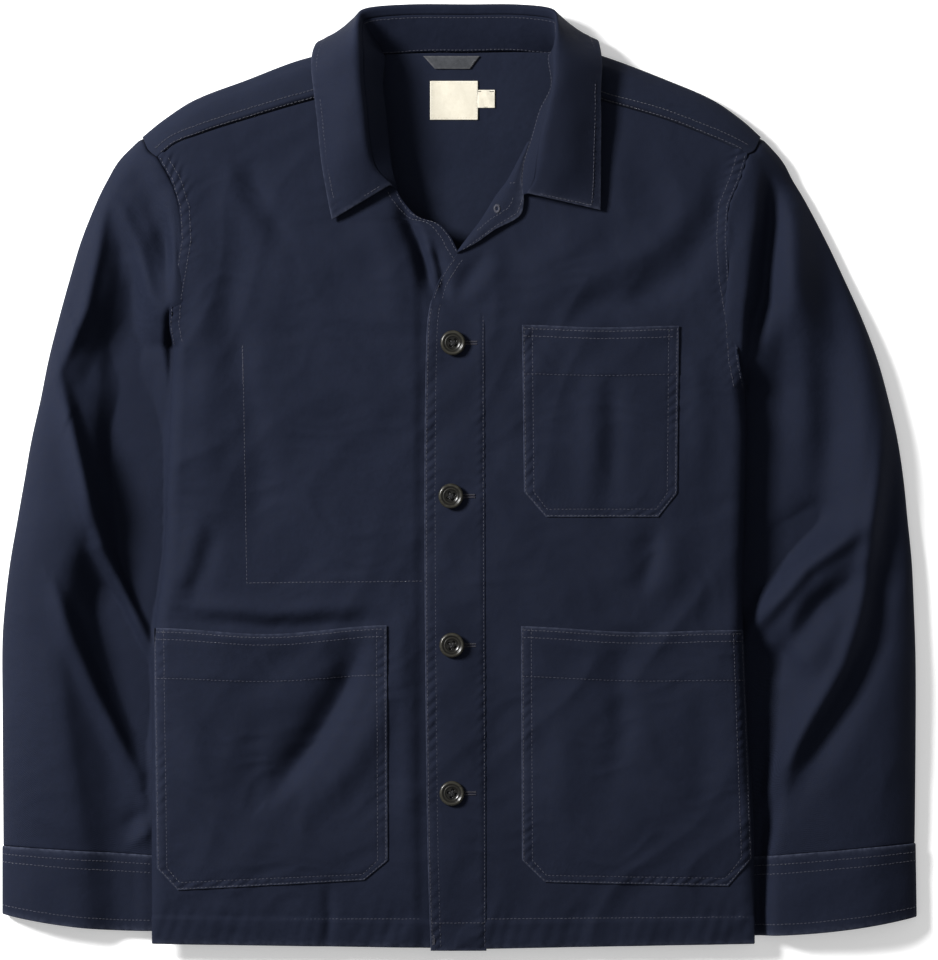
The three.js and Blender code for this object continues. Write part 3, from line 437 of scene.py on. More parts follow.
@dataclass(frozen=True)
class Thread:
    """A row of stitches on a surface."""

    pitch: float = 3.1
    length: float = 2.45
    radius: float = 0.26
    lift: float = 0.2
    face: int = 1  # -1 where the surface's second parameter runs downward

    def sew(self, surface: Surface, path: Array, above: float = 0.5, jitter: int = 1) -> tuple:
        """Lays stitches along a path.

        Each stitch is an arc: its height is the lift times the sine of its share, so both ends sink in.

        Args:
            surface: Point of the cloth's middle for two parameters.
            path: Corners of the row, in those parameters.
            above: The cloth's outer face over its middle.
            jitter: Start of the fixed random series that makes the stitches a little uneven.

        Returns:
            Vertices and quads.
        """
        points, normals, run = self.trace(surface, np.asarray(path, float))
        count = max(int(run[-1] / self.pitch), 1)
        random = np.random.default_rng(jitter)
        start = np.arange(count) * self.pitch + random.uniform(0, 0.35, count)
        share = np.linspace(0, 1, 5)
        at = start[:, None] + share * self.length * random.uniform(0.88, 1.05, count)[:, None]
        place = np.stack([np.interp(at, run, points[:, axis]) for axis in range(3)], 2)
        normal = np.stack([np.interp(at, run, normals[:, axis]) for axis in range(3)], 2)
        rise = above + self.lift * np.sin(math.pi * share) - 0.12
        sway = np.cross(normal, np.gradient(place, axis=1))
        sway /= np.maximum(np.linalg.norm(sway, axis=2, keepdims=True), 1e-9)
        sway *= random.uniform(-0.16, 0.16, count)[:, None, None]
        radii = self.radius * np.array([0.55, 0.95, 1.0, 0.95, 0.55])
        return tubes(place + normal * rise[:, None] + sway, normal, radii)

    def trace(self, surface: Surface, path: Array) -> tuple[Array, Array, Array]:
        """Points, normals and length run along a path on a surface, close together."""
        steps = np.linalg.norm(np.diff(path, axis=0), axis=1)
        length = np.concatenate([[0], np.cumsum(steps)])
        fine = np.linspace(0, length[-1], 420)
        a, b = np.interp(fine, length, path[:, 0]), np.interp(fine, length, path[:, 1])
        points = surface(a, b)
        small = 1e-3 * max(length[-1], 1e-6)
        across = surface(a + small, b) - surface(a - small, b)
        up = surface(a, b + small) - surface(a, b - small)
        normals = np.cross(across, up) * self.face
        normals /= np.maximum(np.linalg.norm(normals, axis=1, keepdims=True), 1e-9)
        run = np.concatenate([[0], np.cumsum(np.linalg.norm(np.diff(points, axis=0), axis=1))])
        return points, normals, run


# Finishes


class Tree:
    """A short way to write a node tree."""

    def __init__(self, tree: bpy.types.NodeTree) -> None:
        """Keeps the tree that the nodes go into."""
        self.tree = tree

    def node(self, kind: str, options: dict | None = None, **inputs: object) -> bpy.types.Node:
        """Adds a node.

        Args:
            kind: Its type without the leading ShaderNode.
            options: Its own settings.
            inputs: Values or sockets for its inputs, by name with spaces as underscores.

        Returns:
            The node.
        """
        made = self.tree.nodes.new("ShaderNode" + kind)
        for key, value in (options or {}).items():
            setattr(made, key, value)
        for key, value in inputs.items():
            self.put(made.inputs[key.replace("_", " ")], value)
        return made

    def put(self, socket: bpy.types.NodeSocket, value: object) -> None:
        """Links a socket, or sets its value."""
        if isinstance(value, bpy.types.NodeSocket):
            self.tree.links.new(value, socket)
        elif value is not None:
            socket.default_value = value

    def math(self, operation: str, *values: object, clamp: bool = False) -> bpy.types.NodeSocket:
        """Adds a Math node and returns its result."""
        made = self.tree.nodes.new("ShaderNodeMath")
        made.operation, made.use_clamp = operation, clamp
        for socket, value in zip(made.inputs, values):
            self.put(socket, value)
        return made.outputs[0]

    def blend(self, share: object, first: object, second: object) -> bpy.types.NodeSocket:
        """Mixes two colours and returns the result."""
        made = self.tree.nodes.new("ShaderNodeMix")
        made.data_type = "RGBA"
        for socket, value in zip((made.inputs[0], made.inputs[6], made.inputs[7]), (share, first, second)):
            self.put(socket, value)
        return made.outputs[2]

    def spread(self, value: object, low: float, high: float, to_low: float = 0.0,
               to_high: float = 1.0) -> bpy.types.NodeSocket:
        """Maps a value from one range to another and returns it."""
        made = self.node("MapRange", {"clamp": True}, Value=value, From_Min=low, From_Max=high,
                         To_Min=to_low, To_Max=to_high)
        return made.outputs[0]


def new_group(name: str, inputs: dict[str, tuple[str, object]], outputs: dict[str, str]) -> tuple:
    """Starts a shader node group.

    Args:
        name: The group's name.
        inputs: Kind and default value of each input.
        outputs: Kind of each output.

    Returns:
        The group, its Tree, and the nodes that hold its inputs and outputs.
    """
    group = bpy.data.node_groups.new(name, "ShaderNodeTree")
    for key, (kind, value) in inputs.items():
        socket = group.interface.new_socket(key, in_out="INPUT", socket_type=kind)
        if value is not None:
            socket.default_value = value
    for key, kind in outputs.items():
        group.interface.new_socket(key, in_out="OUTPUT", socket_type=kind)
    tree = Tree(group)
    return group, tree, group.nodes.new("NodeGroupInput"), group.nodes.new("NodeGroupOutput")


class Weave(Enum):
    """How the yarns cross."""

    TWILL = "twill"
    HERRINGBONE = "herringbone"
    PLAIN = "plain"


def weave_group(kind: Weave) -> bpy.types.NodeTree:
    """Yarns of a weave, in the cloth's own metres.

    Twill: the sine of the place across its diagonal ribs, broken by the sine along the warp.
    Herringbone: the same with the diagonal's direction turned over from stripe to stripe.
    Plain: the product of the two yarns' sines.

    Args:
        kind: The weave.

    Returns:
        The group, whose outputs are Height and Tone.
    """
    group, tree, source, target = new_group(
        f"{kind.value} weave",
        {"Place": ("NodeSocketVector", None), "Rib": ("NodeSocketFloat", 0.0009),
         "Unevenness": ("NodeSocketFloat", 0.35)},
        {"Height": "NodeSocketFloat", "Tone": "NodeSocketFloat"})
    place, rib, uneven = source.outputs[:3]
    split = tree.node("SeparateXYZ", Vector=place)
    across, along = split.outputs[0], split.outputs[1]
    pace = tree.math("DIVIDE", 2 * math.pi, rib)
    slub = tree.node("TexNoise", {"noise_dimensions": "2D"}, Vector=place, Scale=900.0, Detail=2.0)
    shift = tree.math("MULTIPLY", tree.math("SUBTRACT", slub.outputs[0], 0.5), uneven)
    if kind is Weave.HERRINGBONE:
        stripe = tree.math("PINGPONG", across, 0.0028)
        lean = tree.math("ADD", along, tree.math("MULTIPLY", stripe, 1.6))
    else:
        lean = tree.math("ADD", tree.math("MULTIPLY", across, 0.82), tree.math("MULTIPLY", along, 0.57))
    ribs = tree.math("SINE",
                     tree.math("ADD", tree.math("MULTIPLY", lean, pace),
                               tree.math("MULTIPLY", shift, 6.0)))
    yarns = tree.math("SINE", tree.math("MULTIPLY", along, tree.math("MULTIPLY", pace, 1.9)))
    if kind is Weave.PLAIN:
        crossing = tree.math("SINE", tree.math("MULTIPLY", across, pace))
        ribs = tree.math("MULTIPLY", crossing, tree.math("SINE", tree.math("MULTIPLY", along, pace)))
    height = tree.math("ADD", tree.math("MULTIPLY", ribs, 0.75), tree.math("MULTIPLY", yarns, 0.25))
    tree.put(target.inputs[0], height)
    tree.put(target.inputs[1], tree.spread(tree.math("ADD", height, shift), -1.1, 1.1))
    return group


def nap_group() -> bpy.types.NodeTree:
    """Brushed surface of washed cotton: fine fibre, soft mottling, broad unevenness and small crinkles.

    Returns:
        The group, whose outputs are Fibre, Mottle, Broad and Crinkle.
    """
    group, tree, source, target = new_group(
        "nap", {"Place": ("NodeSocketVector", None), "Scale": ("NodeSocketFloat", 1.0)},
        {"Fibre": "NodeSocketFloat", "Mottle": "NodeSocketFloat", "Broad": "NodeSocketFloat",
         "Crinkle": "NodeSocketFloat"})
    place, scale = source.outputs[:2]
    for socket, size, detail in zip(target.inputs, (1500.0, 260.0, 14.0, 48.0), (3.0, 4.0, 2.0, 3.0)):
        noise = tree.node("TexNoise", Vector=place, Scale=tree.math("MULTIPLY", scale, size), Detail=detail)
        tree.put(socket, noise.outputs[0])
    return group


class Groups:
    """The shared node groups, each built once."""

    def __init__(self) -> None:
        """Builds the groups."""
        self.weaves = {kind: weave_group(kind) for kind in Weave}
        self.nap = nap_group()

    def use(self, tree: Tree, group: bpy.types.NodeTree, **inputs: object) -> bpy.types.Node:
        """Places a group in a material."""
        made = tree.tree.nodes.new("ShaderNodeGroup")
        made.node_tree = group
        for key, value in inputs.items():
            tree.put(made.inputs[key], value)
        return made


Colour = tuple[float, float, float]


@dataclass(frozen=True)
class WovenFinish:
    """A woven cloth: its dye, its weave and its wear."""

    name: str
    dye: Colour
    light: Colour
    worn: Colour
    weave: Weave = Weave.TWILL
    rib: float = 0.00078
    roughness: float = 0.78
    sheen: float = 0.04
    depth: float = 0.00009
    crinkle: float = 20.0

    def material(self, groups: Groups) -> bpy.types.Material:
        """Builds the material.

        The colour runs from the dye to its lighter tone by weave, fibre and mottling, and then to the worn
        tone where the wear attribute is high. Height is the weave's ribs plus the fibre noise.
        """
        made = bpy.data.materials.new(self.name)
        made.use_nodes = True
        tree = Tree(made.node_tree)
        shader = made.node_tree.nodes["Principled BSDF"]
        place = tree.node("UVMap", {"uv_map": "cloth"}).outputs[0]
        body = tree.node("TexCoord").outputs["Object"]
        weave = groups.use(tree, groups.weaves[self.weave], Place=place, Rib=self.rib)
        nap = groups.use(tree, groups.nap, Place=body)
        fibre, mottle, broad, crinkle = nap.outputs[:4]
        tone = tree.math("ADD", tree.math("MULTIPLY", weave.outputs[1], 0.3),
                         tree.math("MULTIPLY", fibre, 0.3))
        tone = tree.math("ADD", tone, tree.math("MULTIPLY", mottle, 0.4))
        cloth = tree.blend(tree.spread(tone, 0.25, 0.75), (*self.dye, 1), (*self.light, 1))
        dim = tree.spread(broad, 0.3, 0.7, 0.0, 0.4)
        cloth = tree.blend(dim, cloth, (*self.dye, 1))
        wear = tree.node("Attribute", {"attribute_name": "wear"}).outputs["Fac"]
        patchy = tree.math("MULTIPLY", wear, tree.spread(mottle, 0.35, 0.65, 0.25, 1.0), clamp=True)
        tree.put(shader.inputs["Base Color"], tree.blend(patchy, cloth, (*self.worn, 1)))
        tree.put(shader.inputs["Roughness"], tree.spread(mottle, 0.3, 0.7, self.roughness - 0.07,
                                                         self.roughness + 0.07))
        height = tree.math("ADD", weave.outputs[0], tree.math("MULTIPLY", fibre, 2.2))
        height = tree.math("ADD", height, tree.math("MULTIPLY", crinkle, self.crinkle))
        bump = tree.node("Bump", Strength=0.6, Distance=self.depth, Height=height)
        tree.put(shader.inputs["Normal"], bump.outputs[0])
        shader.inputs["Sheen Weight"].default_value = self.sheen
        shader.inputs["Sheen Roughness"].default_value = 0.45
        shader.inputs["Sheen Tint"].default_value = (*(min(3 * value + 0.1, 1) for value in self.light), 1)
        shader.inputs["Specular IOR Level"].default_value = 0.07
        return made


@dataclass(frozen=True)
class ThreadFinish:
    """Sewing thread: plies that twist round it."""

    name: str
    colour: Colour
    sheen: float = 0.15

    def material(self, groups: Groups) -> bpy.types.Material:
        """Builds the material: fine noise in the colour, and a bump of the same."""
        made = bpy.data.materials.new(self.name)
        made.use_nodes = True
        tree = Tree(made.node_tree)
        shader = made.node_tree.nodes["Principled BSDF"]
        body = tree.node("TexCoord").outputs["Object"]
        nap = groups.use(tree, groups.nap, Place=body, Scale=1.4)
        dark = tuple(value * 0.6 for value in self.colour)
        tree.put(shader.inputs["Base Color"], tree.blend(nap.outputs[1], (*dark, 1), (*self.colour, 1)))
        tree.put(shader.inputs["Roughness"], tree.spread(nap.outputs[0], 0.3, 0.7, 0.5, 0.7))
        bump = tree.node("Bump", Strength=0.5, Distance=0.00008, Height=nap.outputs[0])
        tree.put(shader.inputs["Normal"], bump.outputs[0])
        shader.inputs["Sheen Weight"].default_value = self.sheen
        return made


@dataclass(frozen=True)
class HornFinish:
    """Dark horn-like button: cloudy streaks under a polish, paler on its rim by the wear attribute."""

    name: str
    dark: Colour
    light: Colour

    def material(self, groups: Groups) -> bpy.types.Material:
        """Builds the material: stretched noise mixes the two tones, and mottling dulls the polish."""
        made = bpy.data.materials.new(self.name)
        made.use_nodes = True
        tree = Tree(made.node_tree)
        shader = made.node_tree.nodes["Principled BSDF"]
        body = tree.node("TexCoord").outputs["Object"]
        turned = tree.node("Mapping", Vector=body, Rotation=(0.3, 0.2, 0.6), Scale=(1.0, 3.4, 2.0))
        streak = tree.node("TexNoise", Vector=turned.outputs[0], Scale=150.0, Detail=5.0, Distortion=1.2)
        nap = groups.use(tree, groups.nap, Place=body)
        pale = tree.node("Attribute", {"attribute_name": "wear"}).outputs["Fac"]
        tone = tree.math("MULTIPLY", tree.spread(streak.outputs[0], 0.36, 0.62, 0.45, 1.0), pale,
                         clamp=True)
        tree.put(shader.inputs["Base Color"], tree.blend(tone, (*self.dark, 1), (*self.light, 1)))
        tree.put(shader.inputs["Roughness"], tree.spread(nap.outputs[1], 0.3, 0.7, 0.2, 0.4))
        bump = tree.node("Bump", Strength=0.25, Distance=0.00005, Height=nap.outputs[1])
        tree.put(shader.inputs["Normal"], bump.outputs[0])
        shader.inputs["Specular IOR Level"].default_value = 0.3
        shader.inputs["Coat Weight"].default_value = 0.12
        shader.inputs["Coat Roughness"].default_value = 0.25
        return made


# Form of the body

FLOOR_CLOTH = 0.6
FAN_Y = 150.0
SHOULDER_Z = 22.0
ARMPIT_LIFT, SIDE_LIFT = 6.5, 14.0
ARMPIT_ROUNDING, SIDE_ROUNDING = 22.0, 11.0
LAST_ROW = 27
FRONT_Y = (-378.0, -340.0, -290.0, -150.0, 150.0)
FRONT_Z = (17.0, 21.5, 25.5, 27.0, 27.0)
STRIP_INSET = (7.0, 0.0, 5.0, 12.0)
STRIP_Z = (FLOOR_CLOTH, 8.5, 15.0, 19.0)
STRIP_LEAN = (0.45, -0.89)
UNDERLAP = (1.7, -38.0, -29.0)


@dataclass(frozen=True)
class Side:
    """Half of the body: its outline and its rows, in millimetres, as in the solids."""

    sign: int
    seam: tuple  # y and x of the side seam and armhole
    edge: tuple  # y and x of the front's inner edge
    rows: tuple  # height of each row at the side and at the inner edge
    armpit: float
    armpit_row: int
    fold: tuple  # share, x and y of the shoulder's fold
    shoulder: tuple  # share, x and y of the shoulder seam

    def seam_x(self, y: Array) -> Array:
        """Where the side seam or armhole stands at a height."""
        seam = np.asarray(self.seam)
        return through(seam[:, 0], seam[:, 1], y)

    def edge_x(self, y: Array) -> Array:
        """Where the inner edge stands at a height."""
        edge = np.asarray(self.edge)
        return through(edge[:, 0], edge[:, 1], y)

    def row(self, rows: Array, column: int) -> Array:
        """Height of a row at the side, 0, or at the inner edge, 1."""
        return through(np.arange(LAST_ROW + 1), np.asarray(self.rows)[:, column], rows)

    def lift(self, y: Array) -> Array:
        """How far the sleeve below lifts the side of the body at a height."""
        below = self.armpit - np.asarray(y, float)
        above = ARMPIT_LIFT * (1 - smooth(0, ARMPIT_ROUNDING, -below))
        under = lerp(ARMPIT_LIFT, SIDE_LIFT, 1 - (1 - np.clip(below / 45, 0, 1)) ** 2)
        return np.where(below < 0, above, under)

    def seam_height(self, y: Array) -> Array:
        """Height of the side seam: the floor's cloth, the lift and a small rise."""
        return FLOOR_CLOTH + self.lift(y) + 2 * (1 - smooth(0, ARMPIT_ROUNDING, y - self.armpit))

    def shoulder_y(self, x: Array) -> Array:
        """Where the shoulder seam stands across."""
        table = np.asarray(self.shoulder)
        order = np.argsort(table[:, 1])
        return through(table[order, 1], table[order, 2], x)

    def shoulder_point(self, step: float | Array, share: Array) -> Array:
        """A point of the strip that wraps over the shoulder.

        Args:
            step: 0 under the fold, 1 at it, 4 at the shoulder seam on top.
            share: From the armhole, 0, to the neck, 1.

        Returns:
            The points, as (step, share, 3).
        """
        fold, seam = np.asarray(self.fold), np.asarray(self.shoulder)
        x, y = through(fold[:, 0], fold[:, 1], share), through(fold[:, 0], fold[:, 2], share)
        rows = [np.stack([x - self.sign * STRIP_LEAN[0] * inset, y + STRIP_LEAN[1] * inset,
                          np.full_like(x, z)], 1)
                for inset, z in zip(STRIP_INSET, STRIP_Z)]
        top = np.stack([through(seam[:, 0], seam[:, 1], share), through(seam[:, 0], seam[:, 2], share),
                        np.full_like(x, SHOULDER_Z)], 1)
        table = np.array([*rows, top])
        return through(np.arange(5), table, np.atleast_1d(step))


LEFT = Side(
    sign=-1,
    seam=((-374, -245.6), (-259, -246), (-179, -245.2), (-119, -242.8), (-55, -235.6), (-15, -234),
          (55, -230.8), (105.2, -229.2), (121, -231.8), (141, -230.8), (165, -226.8), (189, -222.8),
          (216, -224.4), (237, -230.8), (255, -241.2)),
    edge=((-378, 14.8), (125, 14.8), (165, 8.4), (182.8, -2.4), (193, -8), (203, -18), (206, -29.2),
          (212.4, -38.8), (229.2, -50), (250, -54), (272, -56.7), (292, -58.7), (313, -61)),
    rows=((-374, -378), (-350, -354), (-331, -319.6), (-313.2, -304), (-262, -260), (-214, -214),
          (-167, -167), (-121.2, -118), (-98, -98), (-65, -65), (-32, -32), (-5, -5), (30, 30),
          (71.6, 71.6), (105.2, 105.2), (125, 125), (150, 150), (160, 161), (170, 172), (180, 182.8),
          (190, 193), (200, 203), (210, 212.4), (219, 229.2), (228, 250), (237, 272), (246, 292), (255, 313)),
    armpit=105.2, armpit_row=14,
    fold=((0, -254, 271.6), (0.09, -237.2, 285.2), (0.22, -212.4, 301.2), (0.445, -170.8, 317.2),
          (0.67, -128.4, 333.2), (0.87, -91.6, 341.5), (1, -64.5, 344.5)),
    shoulder=((0, -241.2, 255), (0.074, -227.6, 266), (0.168, -210.8, 272.5), (0.326, -182.3, 282),
              (0.69, -116.6, 301.2), (1, -61, 313)))
RIGHT = Side(
    sign=1,
    seam=((-374, 235.9), (-271, 234.8), (-201, 230.4), (-140, 227.6), (-102, 226), (-32, 227.6),
          (37, 229), (71.6, 227.6), (92.4, 223.6), (126, 221), (157, 215.8), (191.6, 214),
          (217, 215.6), (238, 224.4), (258, 230.5)),
    edge=((-379, -22.8), (-298.8, -25.2), (-178.8, -26.8), (-66.8, -27.6), (21, -27.6), (101, -26.4),
          (128.4, -24.8), (150, -19.5), (166.3, -10.8), (178, -2), (189, 7), (201, 17),
          (213, 25), (225, 32), (236, 40), (251, 47.5), (270, 56.4), (292, 64.4), (312, 74)),
    rows=((-374, -379), (-350, -354.5), (-328, -322.5), (-305, -307.5), (-262, -262), (-214, -214),
          (-167, -167), (-122.8, -118.2), (-98, -98), (-65, -65), (-32.4, -32.4), (-13, -13), (35, 35),
          (71.6, 71.6), (95, 95), (121, 121), (150, 150), (160, 166), (170, 178), (180, 189),
          (190, 201), (200, 213), (210, 225), (220, 236), (230, 251), (240, 270), (249, 292), (258, 312)),
    armpit=71.6, armpit_row=13,
    fold=((0, 241.2, 271.6), (0.09, 226, 285.2), (0.22, 202.8, 301.2), (0.445, 166, 317.2),
          (0.67, 124.4, 333.2), (0.87, 97, 341.5), (1, 77, 344.5)),
    shoulder=((0, 230.5, 258), (0.18, 202, 270.8), (0.42, 164.2, 285.5), (0.72, 117.6, 299.3),
              (1, 74, 312)))

# Turned-back corner of the upper front: rows, and x, y and rise of its edge
TURN_ROWS = (18, 25)
TURN = ((0, 179.5, 2.2), (14.8, 187.6, 3.8), (28.4, 197.2, 5.2), (48.4, 208.4, 5.2),
        (51.6, 225.2, 5.2), (49.8, 236.4, 4.6), (51.5, 251.6, 3.4), (58.2, 270.8, 2.4))
NECK = ((0, -59, 338.5), (0.25, -27, 339.6), (0.5, 7, 339.6), (0.75, 41, 340.3), (1, 72.5, 340))
NECK_SHARES = (0.38, 0.66)

FRONT_FOLDS = (
    Fold(((196, 200), (206, 320), (205, 440), (200, 560)), 17, 3.0, 1.0),
    Fold(((222, 250), (238, 360), (262, 470), (250, 560)), 15, -2.4, 0.8),
    Fold(((240, 150), (258, 195), (290, 245)), 12, -3.0, 0.7),
    Fold(((225, 160), (240, 200), (262, 245)), 10, 1.8),
    Fold(((374, 215), (392, 262), (400, 330)), 12, 2.2),
    Fold(((400, 200), (419, 246), (434, 296)), 7, -9.5, 0.7),
    Fold(((434, 246), (441, 272), (445, 300)), 5, -5.0),
    Fold(((424, 236), (433, 262), (438, 288)), 4, 2.4),
    Fold(((180, 606), (270, 613), (375, 607)), 8, 2.8),
    Fold(((176, 618), (275, 627), (380, 619)), 8, -4.0),
    Fold(((176, 600), (190, 560), (196, 520)), 9, 2.4),
    Fold(((188, 604), (204, 566), (214, 530)), 9, -2.6),
    Fold(((470, 300), (484, 285), (500, 262)), 8, 1.8),
    Fold(((455, 300), (468, 276), (490, 250)), 7, -1.8),
    Fold(((706, 180), (672, 232), (622, 266), (548, 290)), 13, 3.0),
    Fold(((722, 214), (684, 268), (634, 300), (560, 318)), 14, -3.8),
    Fold(((612, 205), (572, 246), (516, 280)), 14, 2.4),
    Fold(((726, 150), (716, 190), (712, 230)), 9, -2.4),
    Fold(((690, 340), (700, 400), (700, 470)), 10, 1.8),
    Fold(((362, 636), (344, 690), (314, 742), (270, 796)), 13, -10.0, 0.7),
    Fold(((400, 650), (380, 716), (350, 766), (306, 816)), 14, 5.0),
    Fold(((180, 690), (190, 740), (196, 800)), 14, 1.8),
    Fold(((250, 700), (262, 750), (258, 820)), 16, -2.0),
    Fold(((400, 600), (406, 720), (408, 860)), 8, 2.0),
    Fold(((329, 884), (329, 915), (328, 950)), 5, -2.2),
    Fold(((618, 650), (622, 730), (610, 790)), 12, -2.8),
    Fold(((560, 700), (566, 760), (560, 830)), 15, 1.8),
    Fold(((700, 690), (706, 750), (700, 820)), 14, -1.8),
    Fold(((612, 370), (614, 430), (610, 510)), 9, -2.2),
    Fold(((590, 370), (592, 440), (588, 510)), 10, 1.8),
    Fold(((655, 525), (652, 560), (640, 596)), 12, -3.2, 0.6),
    Fold(((675, 530), (672, 560), (662, 600)), 12, 1.8),
    Fold(((480, 620), (500, 700), (496, 820)), 16, -1.4),
    Fold(((715, 420), (712, 500), (700, 590)), 14, -1.6),
)
ARMHOLE_LEFT = ((158, 158), (171, 180), (179, 207), (181, 240), (176, 270), (171, 300), (169, 325),
                (173, 345))
ARMHOLE_RIGHT = ((744, 387), (739, 361), (735.8, 319), (729.3, 280), (727, 237), (729, 205), (740, 179),
                 (747.6, 154))
HEM_LEFT = ((150, 943.5), (440, 947))
HEM_RIGHT = ((482, 947), (757, 943.5))
FRONT_SEAMS = {
    -1: (Seam(ARMHOLE_LEFT, rows=(1.6, 8.2), felled=0.45, pucker=0.62, pitch=8.0),
         Seam(HEM_LEFT, rows=(21.5,), felled=0.5, pucker=0.3, pitch=11.0, slant=-0.3)),
    1: (Seam(ARMHOLE_RIGHT, rows=(1.6, 8.2), felled=0.45, pucker=0.62, pitch=8.0),
        Seam(HEM_RIGHT, rows=(21.5,), felled=0.5, pucker=0.3, pitch=11.0, slant=-0.3)),
}


@dataclass
class BodyForm:
    """Heights of the jacket's body, which its panels, pockets and stitches all share."""

    folds: tuple[Fold, ...] = FRONT_FOLDS
    seams: dict[int, tuple[Seam, ...]] = field(default_factory=lambda: FRONT_SEAMS)

    def front(self, side: Side, x: Array, y: Array) -> Array:
        """Height of a front's middle layer.

        A level form that sinks to the shoulder seam and the hem and rounds over to the side seam, with
        the folds, a gentle unevenness and the relief of the seams on it. The lower front drops away
        under the upper one.

        Args:
            side: Which front.
            x: Places across.
            y: Places up.

        Returns:
            The heights.
        """
        x, y = np.asarray(x, float), np.asarray(y, float)
        fan = np.clip((y - FAN_Y) / (side.shoulder_y(x) - FAN_Y), 0, 1)
        full = lerp(through(FRONT_Y, FRONT_Z, y), SHOULDER_Z, fan**1.5)
        rising = quarter_round((y - side.armpit) / ARMPIT_ROUNDING)
        start = side.seam_height(np.asarray(side.armpit))
        edge = np.where(y < side.armpit, side.seam_height(y), lerp(start, full, rising))
        rounding = quarter_round(np.abs(x - side.seam_x(y)) / SIDE_ROUNDING)
        z = lerp(edge, full, rounding)
        soft = waves(x, y, 150, 11) * 1.0 + waves(x, y, 62, 12) * 0.4
        soft = soft + crumple(x, y, 95, 13) * 1.15 + crumple(x, y, 42, 16) * 0.42
        z = z + (rise_of(self.folds, x, y) + soft) * rounding * (1 - fan**3)
        z = z + relief_of(self.seams[side.sign], x, y)
        if side.sign < 0:
            drop, start_x, end_x = UNDERLAP
            z = z - drop * smooth(start_x, end_x, x)
        return z

    def on_front(self, side: Side, lift: float = 0.0) -> Surface:
        """The front as a surface over the floor's x and y, lifted by a distance."""
        return lambda x, y: np.stack([x, y, self.front(side, x, y) + lift], -1)

    def back(self, x: Array, y: Array) -> Array:
        """Height of the back's middle layer: on the floor, lifted over the sleeves and the leaf."""
        x, y = np.asarray(x, float), np.asarray(y, float)
        total = np.zeros(np.broadcast(x, y).shape)
        for side in (LEFT, RIGHT):
            inward = np.abs(x - side.seam_x(y))
            lift = side.lift(y) * (1 - smooth(20, 52, inward))
            rise = 2 * (1 - smooth(0, ARMPIT_ROUNDING, y - side.armpit)) * (1 - np.clip(inward / 5, 0,
                                                                                        1)) ** 2
            total = np.where(np.sign(x + 1e-6) == side.sign, lift + rise, total)
        neck = 3 * smooth(235, 280, y) * (1 - smooth(116, 132, np.abs(x - 7)))
        return FLOOR_CLOTH + total + neck


def row_places(side: Side, column: int, last: float, step: float) -> tuple[Array, float]:
    """Row positions evenly spaced up a panel, with the rim's close spacing at the hem, and its length."""
    fine = np.linspace(0, last, 600)
    heights = side.row(fine, column)
    length = heights[-1] - heights[0]
    at = stations(length, step) * length + heights[0]
    return np.interp(at, heights, fine), length


